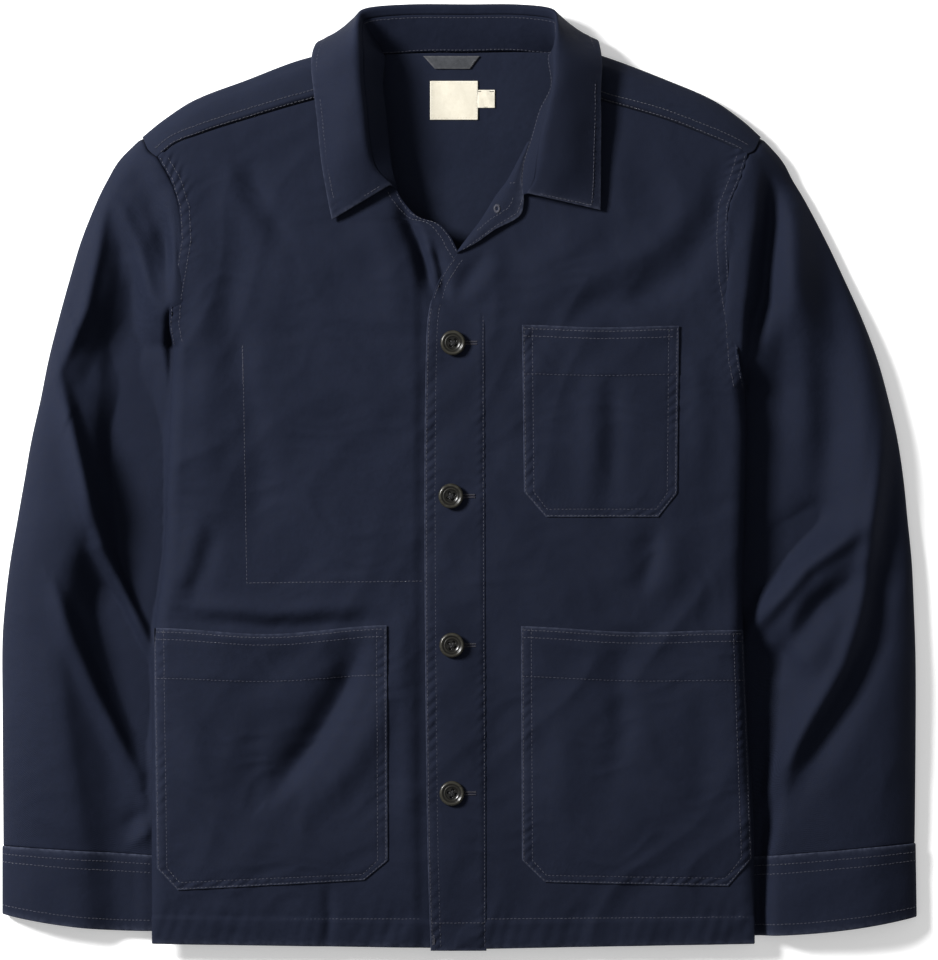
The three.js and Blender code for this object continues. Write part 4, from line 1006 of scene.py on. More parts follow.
@dataclass
class Front:
    """One front panel. The upper one carries on past its roll where its top corner turns back."""

    side: Side
    form: BodyForm
    step: float = 2.05
    thickness: float = 1.0

    def grid(self, rows: Array, share: Array) -> Array:
        """Points of the panel.

        Each row runs from the side to the inner edge, and above the fan row the rows spread out toward
        the shoulder seam by the square of their share of the way there.

        Args:
            rows: Row positions.
            share: Shares of the width, from the side.

        Returns:
            The points, as (row, share, 3).
        """
        side = self.side
        outer, inner = side.row(rows, 0)[:, None], side.row(rows, 1)[:, None]
        fan = np.clip((rows[:, None] - 16) / (LAST_ROW - 16), 0, 1) ** 2
        seam = np.asarray(side.shoulder)
        seam_x, seam_y = through(seam[:, 0], seam[:, 1], share), through(seam[:, 0], seam[:, 2], share)
        top_outer, top_inner = side.row(np.array([LAST_ROW]), 0), side.row(np.array([LAST_ROW]), 1)
        x = lerp(side.seam_x(outer), side.edge_x(inner), share)
        x = x + fan * (seam_x - lerp(side.seam_x(top_outer), side.edge_x(top_inner), share))
        y = lerp(outer, inner, share) + fan * (seam_y - lerp(top_outer, top_inner, share))
        return np.stack([x, y, self.form.front(side, x, y)], 2)

    def turned(self, rows: Array, past: Array) -> Array:
        """Points of the turned-back corner.

        Across, each row is a smooth curve from the roll, out and up round it, and over to its edge.

        Args:
            rows: Row positions.
            past: Shares of the way from the roll to the edge.

        Returns:
            The points, as (row, past, 3).
        """
        inside = np.clip(rows, *TURN_ROWS)
        roll = self.grid(inside, np.array([1.0]))[:, 0]
        edge = through(np.arange(TURN_ROWS[0], TURN_ROWS[1] + 1), TURN, inside)
        rise = edge[:, 2:]
        across = edge[:, :2] - roll[:, :2]
        reach = np.linalg.norm(across, axis=1, keepdims=True)
        across = across / reach
        flat = np.zeros_like(rise)
        out = np.hstack([-across * rise * 0.4, rise * 0.45])
        over = np.hstack([across * reach * 0.3, rise])
        end = np.hstack([across * reach, rise])
        table = np.stack([np.hstack([across * 0, flat]), out, over, end])
        return np.swapaxes(roll + through((0, 0.28, 0.55, 1), table, past), 0, 1)

    def dress(self, material: bpy.types.Material, name: str) -> bpy.types.Object:
        """Builds the panel's shell."""
        side = self.side
        rows, length = row_places(side, 1, LAST_ROW, self.step)
        share = stations(255, self.step)
        points = self.grid(rows, share)
        width = len(share) - 1
        along = (side.row(rows, 1) - side.row(np.array([0.0]), 1)) / length
        hem = 1 + 0.9 * (1 - smooth(20.5, 22.5, along * length))
        thick = rim(along, length)[:, None] * rim(share, 255, ends=(False, True)) * hem[:, None]
        wear = (np.exp(-along * length / 1.6)[:, None] * np.ones_like(share)) * 0.8
        cells = None
        if side.sign > 0:
            past = stations(30, self.step, (False, True))[1:]
            turned = self.turned(rows, past)
            in_turn = (rows >= TURN_ROWS[0] - 1e-6) & (rows <= TURN_ROWS[1] + 1e-6)
            points = np.concatenate([points, turned], 1)
            full = rim(along, length)[:, None] * hem[:, None]
            thick = np.where(in_turn[:, None], full, thick)
            thick = np.concatenate([thick, full * rim(past, 30, ends=(False, True))], 1)
            cells = np.ones((len(rows) - 1, points.shape[1] - 1), bool)
            cells[:, width:] = (in_turn[:-1] & in_turn[1:])[:, None]
            edge_wear = np.exp(-(1 - past) * 30 / 2.2)[None] * np.ones((len(rows), 1))
            wear = np.concatenate([wear, edge_wear], 1)
        tuck = np.exp(-(LAST_ROW - rows) * 9)[:, None, None]
        points = points + tuck * np.array([0, 1.6, -0.9])
        cloth = Cloth(points, self.thickness, thick, flip=side.sign > 0, cells=cells, wear=wear)
        return make_mesh(name, [cloth.build()], material)


@dataclass
class Back:
    """The back, cut in one with the strips that wrap over the shoulders."""

    form: BodyForm
    step: float = 3.4
    thickness: float = 1.0

    def half(self, side: Side, rows: Array, share: Array) -> Array:
        """Points of one half, from the armhole to the neck's end, fanning out toward the shoulder."""
        fan = np.clip((rows - 16) / (LAST_ROW - 16), 0, 1)[:, None]
        outer = np.array([[float(side.seam_x(np.asarray(row[0], float))), row[0]] for row in side.rows])
        tip = side.shoulder_point(0.0, np.array([0.0]))[0, 0, :2]
        outer[-1] = tip
        edge = through(np.arange(LAST_ROW + 1), outer, rows)
        top = np.asarray(NECK[0 if side.sign < 0 else -1][1:])
        level = self.level(rows, NECK_SHARES[0 if side.sign < 0 else 1])[:, None]
        inner_y = lerp(level, top[1], fan)
        end = side.shoulder_point(0.0, share)[0, :, :2]
        end = end + (top - end[np.argmax(share)]) * share[:, None] ** 4
        x = lerp(edge[:, :1], top[0], share) + fan**2 * (end[:, 0] - lerp(tip[0], top[0], share))
        y = lerp(edge[:, 1:], inner_y, share) + fan**2 * (end[:, 1] - lerp(tip[1], top[1], share))
        z = self.form.back(x, y)
        seam = side.seam_height(edge[:, 1:])
        return np.stack([x, y, np.where(share == 0, seam, z)], 2)

    def level(self, rows: Array, share: float) -> Array:
        """Height of a row between the two sides."""
        inside = np.minimum(rows, 16)
        return lerp(LEFT.row(inside, 0), RIGHT.row(inside, 0), share)

    def neck(self, rows: Array, share: Array) -> Array:
        """Points below the neck seam."""
        table = np.asarray(NECK)
        fan = np.clip((rows - 16) / (LAST_ROW - 16), 0, 1)[:, None]
        x = through(table[:, 0], table[:, 1], share) * np.ones((len(rows), 1))
        top = through(table[:, 0], table[:, 2], share)
        low = np.stack([self.level(rows, lerp(*NECK_SHARES, part)) for part in share], 1)
        y = lerp(low, top, fan)
        return np.stack([x, y, self.form.back(x, y)], 2)

    def dress(self, material: bpy.types.Material, name: str) -> bpy.types.Object:
        """Builds the back and its two strips as one shell."""
        rows, length = row_places(LEFT, 0, LAST_ROW, self.step)
        steps = np.linspace(0, 4, 17)[1:]
        share = stations(190, self.step, (True, False))
        neck_share = np.linspace(0, 1, 32)[1:-1]
        body = np.concatenate([self.half(LEFT, rows, share), self.neck(rows, neck_share),
                               self.half(RIGHT, rows, share)[:, ::-1]], 1)
        strips = [side.shoulder_point(steps, share) for side in (LEFT, RIGHT)]
        gap = np.zeros((len(steps), len(neck_share), 3))
        top = np.concatenate([strips[0], gap, strips[1][:, ::-1]], 1)
        points = np.concatenate([body, top])
        cells = np.ones((points.shape[0] - 1, points.shape[1] - 1), bool)
        cells[len(rows) - 1:, len(share) - 1:len(share) + len(neck_share)] = False
        thick = np.ones(points.shape[:2])
        hem = (LEFT.row(rows, 0) - LEFT.row(np.array([0.0]), 0)) / length
        thick[:len(rows)] *= (rim(hem, length) * (1 + 0.9 * (1 - smooth(20.5, 22.5,
                                                                        hem * length))))[:, None]
        lift = np.zeros(points.shape)
        lift[-1, :, 2] = 0.35
        cloth = Cloth(points + lift, self.thickness, thick, cells=cells)
        return make_mesh(name, [cloth.build()], material)


# Sleeves and cuffs

LEFT_SLEEVE_EDGE = (
    (-297, -365.2), (-179, -366), (-131, -366), (-99, -363.6), (-67, -359.6), (-35, -354), (-3, -348.4),
    (29, -342.8), (61, -335.6), (93, -329.2), (125, -321.2), (157, -312.4), (189, -302.8), (221, -290),
    (237, -282), (253, -272.4), (271.6, -254))
RIGHT_SLEEVE_EDGE = (
    (-295, 364.4), (-211, 365.2), (-147, 365.2), (-99, 363.6), (-67, 362), (-35, 358.8), (-3, 355.6),
    (29, 350.8), (61, 343.6), (93, 334.8), (125, 322.8), (157, 308.4), (189, 293.2), (221, 276.4),
    (237, 266.8), (253, 258), (271.6, 241.2))
CROWN = ((0, 27), (0.15, 31), (0.5, 30), (0.85, 27), (1, 22))

LEFT_SLEEVE_FOLDS = (
    Fold(((100, 186), (121, 210), (138, 248), (154, 312)), 8, 6.0, 0.8),
    Fold(((126, 142), (148, 182), (165, 226), (172, 280)), 12, -13.0, 0.8),
    Fold(((106, 190), (98, 250), (86, 310), (55, 380)), 8, 8.0, 0.6),
    Fold(((122, 196), (122, 280), (108, 335), (80, 396)), 15, -17.0, 1.8),
    Fold(((54, 358), (73, 430), (88, 490), (104, 548), (160, 672)), 9, 13.5, 0.6),
    Fold(((88, 362), (111, 430), (131, 490), (152, 545), (200, 650)), 24, -18.0, 1.8),
    Fold(((52, 580), (76, 645), (97, 695), (140, 784)), 9, 10.0, 0.6),
    Fold(((90, 548), (115, 625), (136, 680), (172, 776)), 20, -15.5, 1.8),
    Fold(((92, 538), (122, 592), (152, 655)), 7, 4.0),
    Fold(((128, 848), (142, 836), (160, 830)), 6, 3.0),
    Fold(((120, 828), (140, 816), (162, 810)), 7, -2.6),
    Fold(((150, 770), (146, 792), (158, 806)), 6, -2.4),
    Fold(((44, 380), (34, 470), (26, 600)), 12, 1.6),
)
RIGHT_SLEEVE_FOLDS = (
    Fold(((766, 140), (772, 220), (763, 300), (742, 370)), 9, -19.0, 1.4),
    Fold(((796, 180), (792, 270), (780, 360)), 12, 4.0),
    Fold(((798, 200), (802, 300), (806, 420), (806, 480)), 12, 3.0),
    Fold(((826, 170), (834, 300), (838, 420), (822, 540)), 19, -11.0),
    Fold(((866, 290), (872, 370), (874, 460)), 12, 2.0),
    Fold(((866, 524), (806, 566), (742, 640)), 11, 14.0, 0.8),
    Fold(((838, 500), (796, 536), (748, 590)), 14, -9.0),
    Fold(((866, 570), (820, 606), (764, 680)), 12, -11.0),
    Fold(((887, 396), (879, 470), (870, 540), (859, 612), (842, 665), (810, 718), (780, 770),
          (752, 834)), 7, 6.0),
    Fold(((902, 400), (896, 490), (888, 565), (874, 645), (850, 696), (818, 748), (772, 830)), 10, -8.5,
         1.5),
    Fold(((906, 640), (902, 720), (884, 800)), 14, 2.0),
)
LEFT_BESIDE = ((0, 11.2), (6, 11.0), (15, 9.6), (28, 10.8), (38, 15.5), (49, 24.0), (62, 40.0))
RIGHT_BESIDE = ((0, 6.0), (12, 4.8), (24, 6.0), (40, 12.0), (58, 22.0), (86, 42.0))
LEFT_REACH = ((-300, 1.1), (-250, 1.15), (-190, 1.3), (-120, 1.4), (-70, 1.3), (-10, 1.1), (105, 1.1))
RIGHT_REACH = ((-300, 0.28), (-227, 0.5), (-163, 0.8), (-131, 0.55), (-99, 0.68), (-51, 1.3), (55, 1.35),
               (105, 1.0))


@dataclass
class Sleeve:
    """A sleeve that lies beside the body and in under it, with its cuff.

    The section runs from the outer fold over the top to the inner fold and back underneath. Its top is a
    dome across, held down where the body lies over it, and the armhole's own shape fades out down it.
    """

    side: Side
    edge: tuple
    folds: tuple[Fold, ...]
    beside: tuple  # height of the upper layer by the distance out from the body
    reach: tuple  # how far that table is stretched, by y
    cuff_top: tuple[float, float]
    cuff_bottom: tuple[float, float]
    form: BodyForm
    seed: int
    step: float = 3.0

    def ring(self) -> tuple[Array, Array]:
        """Armhole points over the top, from the shoulder's fold to the armpit, and back underneath."""
        side = self.side
        strip = side.shoulder_point(np.arange(1, 5), np.array([0.0]))[:, 0]
        rows = np.asarray(side.rows, float)[:, 0]
        front = rows[side.armpit_row:LAST_ROW][::-1]
        x = side.seam_x(front)
        height = self.form.front(side, x, front)
        top = np.concatenate([strip, np.stack([x, front, height], 1)])
        behind = rows[side.armpit_row + 1:LAST_ROW]
        under = np.stack([side.seam_x(behind), behind, side.seam_height(behind)], 1)
        tip = side.shoulder_point(0.0, np.array([0.0]))[0]
        return top, np.concatenate([top[-1:], under, tip, strip[:1]])

    def inner_fold(self, y: Array) -> Array:
        """Where the inner fold stands: beside the body at the armpit, then in under it."""
        below = self.side.armpit - y
        return self.side.seam_x(y) - self.side.sign * 22 * smooth(-2, 36, below)

    def top_height(self, x: Array, y: Array, along: Array, share: Array) -> Array:
        """Height of the upper layer."""
        dome = (1 - np.abs(2 * share - 1) ** 3) ** 0.6
        crown = np.asarray(CROWN)
        z = lerp(lerp(7, 4.5, share), through(crown[:, 0], crown[:, 1], along), dome)
        soft = waves(x, y, 120, self.seed) * 0.9 + crumple(x, y, 80, self.seed + 1) * 0.7
        held = np.minimum(y, self.side.armpit)
        outward = self.side.sign * (x - self.side.seam_x(held))
        beside, reach = np.asarray(self.beside), np.asarray(self.reach)
        climb = lerp(0.8, 0.28, smooth(2, 34, outward)) * np.maximum(y - self.side.armpit, 0)
        allowed = through(beside[:, 0], beside[:, 1],
                          outward / through(reach[:, 0], reach[:, 1], held)) + climb
        covered = self.side.lift(held) - 3.2 + 1.2 * np.maximum(outward - 3, 0) + climb
        z = soft_min(soft_min(z + soft * dome, allowed, 6.0), covered, 1.0)
        z = z + rise_of(self.folds, x, y) * dome * smooth(-3, 6, outward)
        return np.maximum(z, FLOOR_CLOTH + 2)

    def point(self, along: Array, place: Array, top: bool) -> Array:
        """Points of the sleeve.

        Args:
            along: Shares of the length, from the armhole to the cuff.
            place: Shares round half of the section, from where that half starts.
            top: Whether it is the upper half.

        Returns:
            The points, as (along, place, 3).
        """
        over, under = self.ring()
        ring = over if top else under
        eased = (1 - np.cos(math.pi * place)) / 2
        share = eased if top else 1 - eased
        start = through(np.arange(len(ring)), ring, place * (len(ring) - 1))
        along = along[:, None]
        side = self.side
        outer_y = lerp(side.fold[0][2], self.cuff_top[0], along)
        inner_y = lerp(side.armpit, self.cuff_top[1], along)
        edge = np.asarray(self.edge, float)
        outer_x = through(edge[:, 0], edge[:, 1], outer_y)
        inner_x = self.inner_fold(inner_y)
        fade = 1 - smooth(0, lerp(0.3, 0.07, share**4), along)
        corner = float(side.seam_x(np.asarray(side.armpit)))
        x = lerp(outer_x, inner_x, share) + fade * (start[:, 0] - lerp(side.fold[0][1], corner, share))
        y = lerp(outer_y, inner_y, share) + fade * (start[:, 1] - lerp(side.fold[0][2], side.armpit, share))
        if top:
            target = self.top_height(x, y, along, share)
        else:
            near = np.maximum(1 - share / 0.04, 0) ** 2 + np.maximum(1 - (1 - share) / 0.04, 0) ** 2
            target = FLOOR_CLOTH + 5 * near
        settled = smooth(0, lerp(0.07, 0.03, share**6), along)
        return np.stack([x, y, lerp(start[:, 2], target, settled)], 2)

    def tube(self, along: Array, across: int = 104, below: int = 58) -> Array:
        """Points all the way round, as (along, round, 3)."""
        top = self.point(along, np.linspace(0, 1, across + 1)[:-1], True)
        bottom = self.point(along, np.linspace(0, 1, below + 1)[:-1], False)
        return np.concatenate([top, bottom], 1)

    def dress(self, material: bpy.types.Material, name: str) -> bpy.types.Object:
        """Builds the sleeve's shell. Its first row is tucked in under the body's edge."""
        along = stations(600, self.step, (False, False))
        points = self.tube(along)
        tuck = np.exp(-along * 600 / 1.2)[:, None]
        points[..., 0] -= self.side.sign * 2.4 * tuck
        points[..., 2] -= 0.9 * tuck * (points[..., 2] > 6)
        cloth = Cloth(points, 0.9, ring=True, flip=self.side.sign < 0)
        return make_mesh(name, [cloth.build()], material)

    def cuff_points(self, down: Array, across: int = 104, below: int = 58) -> Array:
        """Points of the cuff: straight down from the sleeve's end to a gently bowed edge."""
        start = self.tube(np.array([1.0]), across, below)[0]
        over = (1 - np.cos(math.pi * np.linspace(0, 1, across + 1)[:-1])) / 2
        under = 1 - (1 - np.cos(math.pi * np.linspace(0, 1, below + 1)[:-1])) / 2
        share = np.concatenate([over, under])
        down = down[:, None]
        outer_x = 365.2 * self.side.sign
        inner_x = self.inner_fold(np.asarray(self.cuff_bottom[1], float))
        x = lerp(start[:, 0], lerp(outer_x, inner_x, share), down)
        sag = 5 * 4 * share * (1 - share)
        y = lerp(start[:, 1], lerp(self.cuff_bottom[0], self.cuff_bottom[1], share) - sag, down)
        z = np.maximum(start[:, 2], 1.5) + np.zeros_like(x)
        soft = waves(x, y, 46, self.seed + 5) * 0.5 * (z > 8)
        return np.stack([x, y, z + soft], 2)

    def dress_cuff(self, material: bpy.types.Material, name: str) -> bpy.types.Object:
        """Builds the cuff: two layers of cloth with a folded lower edge."""
        down = stations(56, 2.2)
        points = self.cuff_points(lerp(-0.02, 1.0, down))
        share = rim(down, 56, 1.3)[:, None]
        wear = (np.exp(-(1 - down) * 56 / 1.6) * 0.8 + np.exp(-down * 56 / 1.2) * 0.9)[:, None]
        cloth = Cloth(points, 2.0, share, ring=True, flip=self.side.sign < 0, lift=0.35, wear=wear)
        return make_mesh(name, [cloth.build()], material)


# Collar

COLLAR = (
    (-55, 233, 32, -102.8, 204.4, 28.5, 0), (-70.5, 247, 38, -106, 222, 29, 0),
    (-76, 270, 44, -111, 252, 29, 0), (-78, 293, 46, -114, 282, 30, 0), (-80.5, 316, 46, -117, 308, 30, 0),
    (-81.5, 335, 44, -119, 327, 28, 0), (-82, 350, 39, -118, 340.5, 20, 0.2),
    (-81.5, 364, 32, -113, 347.5, 9, 0.6), (-75.5, 373.5, 25, -99, 342, 1.2, 1), (-42, 377.2, 18, -45,
                                                                                  329, 1, 1),
    (7, 377.4, 16, 3, 326, 1, 1), (47, 377.2, 18, 46, 329, 1, 1), (73.5, 373.5, 25, 101, 342, 1.2, 1),
    (77.5, 364.5, 32, 111, 348.5, 9, 0.6), (77.5, 351, 39, 113.5, 341.5, 20, 0.2), (76, 336, 44, 114.5,
                                                                                    328, 29, 0),
    (75.5, 316, 47, 113.5, 308, 32, 0), (71.5, 294, 47, 114, 287, 32, 0), (67, 272, 46, 114, 262, 31, 0),
    (65, 252, 43, 114, 244, 30.5, 0), (62.5, 237, 38, 114, 228, 30, 0), (55, 226, 34, 114, 212.4, 29.5, 0))


@dataclass
class Collar:
    """The stand, which rises from the neck seam to the roll, and the leaf, which falls from it.

    Each station is a straight line from the neck seam to the roll, and then a Bezier curve to the leaf's
    edge. Its handles either spread the leaf over the shoulder or bend it down behind the neck and under.
    """

    upper: Front
    lower: Front
    form: BodyForm
    thickness: float = 2.0

    def __post_init__(self) -> None:
        """Keeps the neck seam's points."""
        self.seam = self.neck_line()

    def neck_line(self) -> Array:
        """Points of the neck seam, one for each station."""
        left = self.lower.grid(np.arange(23.0, 28.0), np.array([1.0]))[:, 0]
        right = self.upper.grid(np.array([27.0, 26.0]), np.array([1.0]))[:, 0]
        turned = self.upper.turned(np.array([25.0, 24.0, 23.0, 22.0]), np.array([1.0]))[:, 0]
        strips = [side.shoulder_point(np.array([3.0, 2.0, 1.0, 0.0]),
                                      np.array([1.0]))[:, 0] for side in (LEFT, RIGHT)]
        neck = np.asarray(NECK)[1:-1, 1:]
        middle = np.column_stack([neck, self.form.back(neck[:, 0], neck[:, 1])])
        return np.concatenate([left, strips[0], middle, strips[1][::-1], right, turned])

    def point(self, station: Array, step: Array) -> Array:
        """Points of the collar.

        Args:
            station: Positions along the collar, in stations.
            step: 0 at the neck seam, 1 at the roll, 2 at the leaf's edge, in the same shape.

        Returns:
            The points.
        """
        station, step = np.broadcast_arrays(station, step)
        index = np.arange(len(COLLAR))
        neck = through(index, self.seam, station)
        row = through(index, COLLAR, station)
        roll, edge, under = row[..., :3], row[..., 3:6], np.clip(row[..., 6:], 0, 1)
        step = step[..., None]
        stand = lerp(neck, roll, np.minimum(step, 1))
        bow = 1.5 * np.sin(math.pi * np.minimum(step, 1)) * under
        stand = stand + bow * np.array([0, 0, 1])
        up = np.array([0, 0, 1])
        over = [lerp(roll, edge, 0.35) * (1, 1, 0) + (roll[..., 2:] + 1.5) * up, lerp(roll, edge, 0.7) + up]
        beneath = [roll * (1, 1, 0.3) + np.array([0, 1, 0]), lerp(roll, edge, 0.2) * (1, 1, 0)
                   + edge * (0, 0, 1)]
        first, second = (lerp(a, b, under) for a, b in zip(over, beneath))
        t = np.clip(step - 1, 0, 1)
        leaf = roll * (1 - t) ** 3 + first * 3 * t * (1 - t) ** 2 + second * 3 * t**2 * (1 - t) + edge * t**3
        return np.where(step <= 1, stand, leaf)

    def soft_point(self, station: Array, step: Array) -> Array:
        """The same points with the roll rounded: each is the mean of five places a little apart."""
        spread = (-0.07, -0.035, 0.0, 0.035, 0.07)
        return sum(self.point(station, np.clip(step + shift, 0, 2)) for shift in spread) / len(spread)

    def grid(self, steps: Array, count: int) -> tuple[Array, Array]:
        """A dense grid of the collar, with the stations spaced evenly along the roll."""
        last = len(COLLAR) - 1
        fine = np.linspace(0, last, 500)
        roll = self.point(fine, np.ones_like(fine))
        run = np.concatenate([[0], np.cumsum(np.linalg.norm(np.diff(roll, axis=0), axis=1))])
        share = stations(run[-1], run[-1] / count)
        station = np.interp(share * run[-1], run, fine)
        points = self.soft_point(station[:, None], steps)
        soft = waves(points[..., 0], points[..., 1], 34, 31) * 0.45
        pucker = np.sin(share * run[-1] / 1.3
                        + 1.4 * np.sin(share * run[-1] / 9)) * np.sin(share * run[-1] / 21 + 1)
        stitched = np.exp(-(((steps - 1.86) / 0.1) ** 2)) - 0.6 * np.exp(-(((steps - 1.84) / 0.012) ** 2))
        points[..., 2] += soft * smooth(0.9, 1.3, steps) + 0.3 * pucker[:, None] * stitched
        return points, share

    def dress_stand(self, material: bpy.types.Material, name: str) -> bpy.types.Object:
        """Builds the stand."""
        steps = np.linspace(0, 0.81, 18)
        points, share = self.grid(steps, 190)
        thick = rim(share, 420, 1.0)[:, None]
        cloth = Cloth(points, 1.6, thick)
        return make_mesh(name, [cloth.build()], material)

    def dress_leaf(self, material: bpy.types.Material, name: str) -> bpy.types.Object:
        """Builds the leaf: two layers with a folded edge."""
        fall = stations(70, 1.9, (False, True))
        steps = lerp(0.79, 2.0, fall)
        points, share = self.grid(steps, 200)
        thick = rim(share, 420, 1.1)[:, None] * rim(fall, 70, 1.1, (False, True))
        near = np.minimum(np.minimum(share, 1 - share)[:, None] * 420, (1 - fall) * 70)
        cloth = Cloth(points, self.thickness, thick, wear=np.exp(-near / 1.5) * 0.8)
        return make_mesh(name, [cloth.build()], material)


# Pockets and placket


@dataclass
class Patch:
    """A patch pocket with two clipped lower corners, stitched round its sides and bottom.

    Its left and right edges run down and then in along the clipped corners, and each row is a straight
    line between them. It lies on its front, swells a little, and its mouth stands off between the corners.
    """

    side: Side
    form: BodyForm
    corners: tuple  # in view units: top left, then round by the right to the lower left, six in all
    band: float  # depth of the hem at the mouth, mm
    mouth: float = 1.8  # how far the mouth stands off
    step: float = 1.6

    def edges(self) -> tuple[Array, Array]:
        """Left and right edges from the top, each as three corners in millimetres."""
        corners = seen_at(self.corners)
        return corners[[0, 5, 4]], corners[[1, 2, 3]]

    def plan(self, across: Array, down: Array) -> Array:
        """Places over the floor for shares across and down."""
        edges = []
        for edge in self.edges():
            lengths = np.linalg.norm(np.diff(edge, axis=0), axis=1)
            run = np.concatenate([[0], np.cumsum(lengths)]) / lengths.sum()
            edges.append(np.stack([np.interp(down, run, edge[:, 0]), np.interp(down, run, edge[:, 1])], -1))
        return lerp(edges[0], edges[1], np.asarray(across)[..., None])

    def size(self) -> tuple[float, float]:
        """Width at the mouth and length down the edge."""
        left, right = self.edges()
        return float(right[0, 0] - left[0, 0]), float(np.linalg.norm(np.diff(left, axis=0), axis=1).sum())

    def surface(self, across: Array, down: Array) -> Array:
        """Middle layer of the pocket for shares across and down."""
        plan = self.plan(across, down)
        width, length = self.size()
        swell = np.sin(math.pi * np.clip(across, 0, 1)) ** 0.6
        droop = 1.7 * self.mouth * np.sin(math.pi * np.clip(across, 0,
                                                            1)) ** 2 * np.exp(-((down * length / 60) ** 2))
        x, y = plan[..., 0], plan[..., 1] - droop
        sag = self.mouth * np.exp(-((down * length / 15) ** 2)) * swell
        belly = 0.7 * swell * np.sin(math.pi * np.clip(down, 0, 1)) ** 0.6
        inside = np.minimum(np.minimum(across, 1 - across) * width, (1 - down) * length)
        near = np.exp(-(((inside - 5.0) / 3.6) ** 2))
        ripple = np.sin(2 * math.pi * (y - 0.8 * x) / 8.4 + 1.8 * np.sin((x + y) / 17))
        ripple = ripple * (0.55 + 0.45 * np.sin((x - 2 * y) / 31))
        rows = np.exp(-(((inside - 1.5) / 0.9) ** 2)) + np.exp(-(((inside - 8.2) / 0.9) ** 2))
        band = 0.55 * (1 - smooth(self.band - 0.6, self.band + 0.8, down * length))
        z = self.form.front(self.side, x, y) + 1.3 + sag + belly + band + 0.5 * near * ripple - 0.3 * rows
        return np.stack([x, y, z], -1)

    def dress(self, material: bpy.types.Material, name: str) -> bpy.types.Object:
        """Builds the pocket's shell."""
        width, length = self.size()
        across, down = stations(width, self.step), stations(length, self.step)
        a, b = np.meshgrid(across, down)
        share = rim(down, length, 0.9)[:, None] * rim(across, width, 0.9)
        inside = np.minimum(np.minimum(a, 1 - a) * width, np.minimum(b, 1 - b) * length)
        cloth = Cloth(self.surface(a, b), 1.0, share, flip=True, wear=np.exp(-inside / 1.2) * 0.7)
        return make_mesh(name, [cloth.build()], material)

    def rows(self) -> list[tuple[Surface, Array, float]]:
        """Stitch rows: double round the edge, one under the band, and double at the mouth."""
        width, length = self.size()
        band = self.band / length
        found = []
        for inset in (1.5, 8.2):
            a, b = inset / width, inset / length
            found.append((self.surface,
                          np.array([[a, 1.2 / length], [a, 1 - b], [1 - a, 1 - b],
                                    [1 - a, 1.2 / length]])))
        found.append((self.surface, np.array([[0.004, band], [0.996, band]])))
        for inset in (3.2, 9.0)[: 2 if self.band > 30 else 1]:
            found.append((self.surface, np.array([[0.01, inset / length], [0.99, inset / length]])))
        return found


@dataclass
class Placket:
    """The doubled band down the upper front's edge, with the buttonholes."""

    form: BodyForm
    top: float = 141.0
    step: float = 1.5

    def surface(self, across: Array, down: Array) -> Array:
        """Middle layer for shares across and down: from the front's edge to the band's seam."""
        y = lerp(self.top, -379.6, down)
        left = RIGHT.edge_x(y) - 0.3
        right = 20.4 + 1.2 * smooth(0.0, 1.0, down)
        x = lerp(left, right, across)
        width = right - left
        inside = np.minimum(across, 1 - across) * width
        near = np.exp(-(((across * width - 5.0) / 3.6) ** 2)) + 0.5 * np.exp(-((((1 - across) * width
                                                                                 - 3) / 4) ** 2))
        ripple = np.sin(2 * math.pi * (y - 0.8 * x) / 8.6
                        + 1.7 * np.sin(y / 21)) * (0.55 + 0.45 * np.sin(y / 33 + 1))
        rows = np.exp(-(((across * width - 1.6) / 0.9) ** 2)) + np.exp(-(((across * width
                                                                           - 8.4) / 0.9) ** 2))
        rows = rows + np.exp(-((((1 - across) * width - 1.6) / 0.9) ** 2))
        soft = 0.25 * waves(x, y, 36, 61)
        stands = lerp(-0.3, 1.15,
                      smooth(0, 26, down * 520)) - 0.7 * (1 - smooth(0, 5, (1 - across) * width))
        z = self.form.front(RIGHT, x, np.maximum(y, -378)) + stands + 0.6 * near * ripple - 0.26 * rows
        return np.stack([x, y, z + soft * smooth(0, 8, inside)], -1)

    def dress(self, material: bpy.types.Material, name: str) -> bpy.types.Object:
        """Builds the band's shell."""
        across, down = stations(47, self.step), stations(520, self.step)
        a, b = np.meshgrid(across, down)
        share = rim(down, 520, 1.0)[:, None] * rim(across, 47, 1.0)
        inside = np.minimum(a * 47, (1 - b) * 520)
        cloth = Cloth(self.surface(a, b), 1.3, share, flip=True, wear=np.exp(-inside / 1.2) * 0.6)
        return make_mesh(name, [cloth.build()], material)

    def rows(self) -> list[tuple[Surface, Array]]:
        """Stitch rows: double at the edge, one at the seam, one at the hem."""
        last = 1 - 1.2 / 520
        found = [(self.surface, np.array([[share, 0.006], [share, last]])) for share in (1.6 / 47,
                                                                                         8.4 / 47, 1 - 1.6 / 47)]
        found.append((self.surface, np.array([[0.02, 1 - 22.5 / 520], [0.98, 1 - 22.5 / 520]])))
        return found


# Buttons and trim

BUTTON_PLACES = ((-5.2, 106.8), (-6.8, -15.6), (-6.0, -134.8), (-6.0, -253.2))


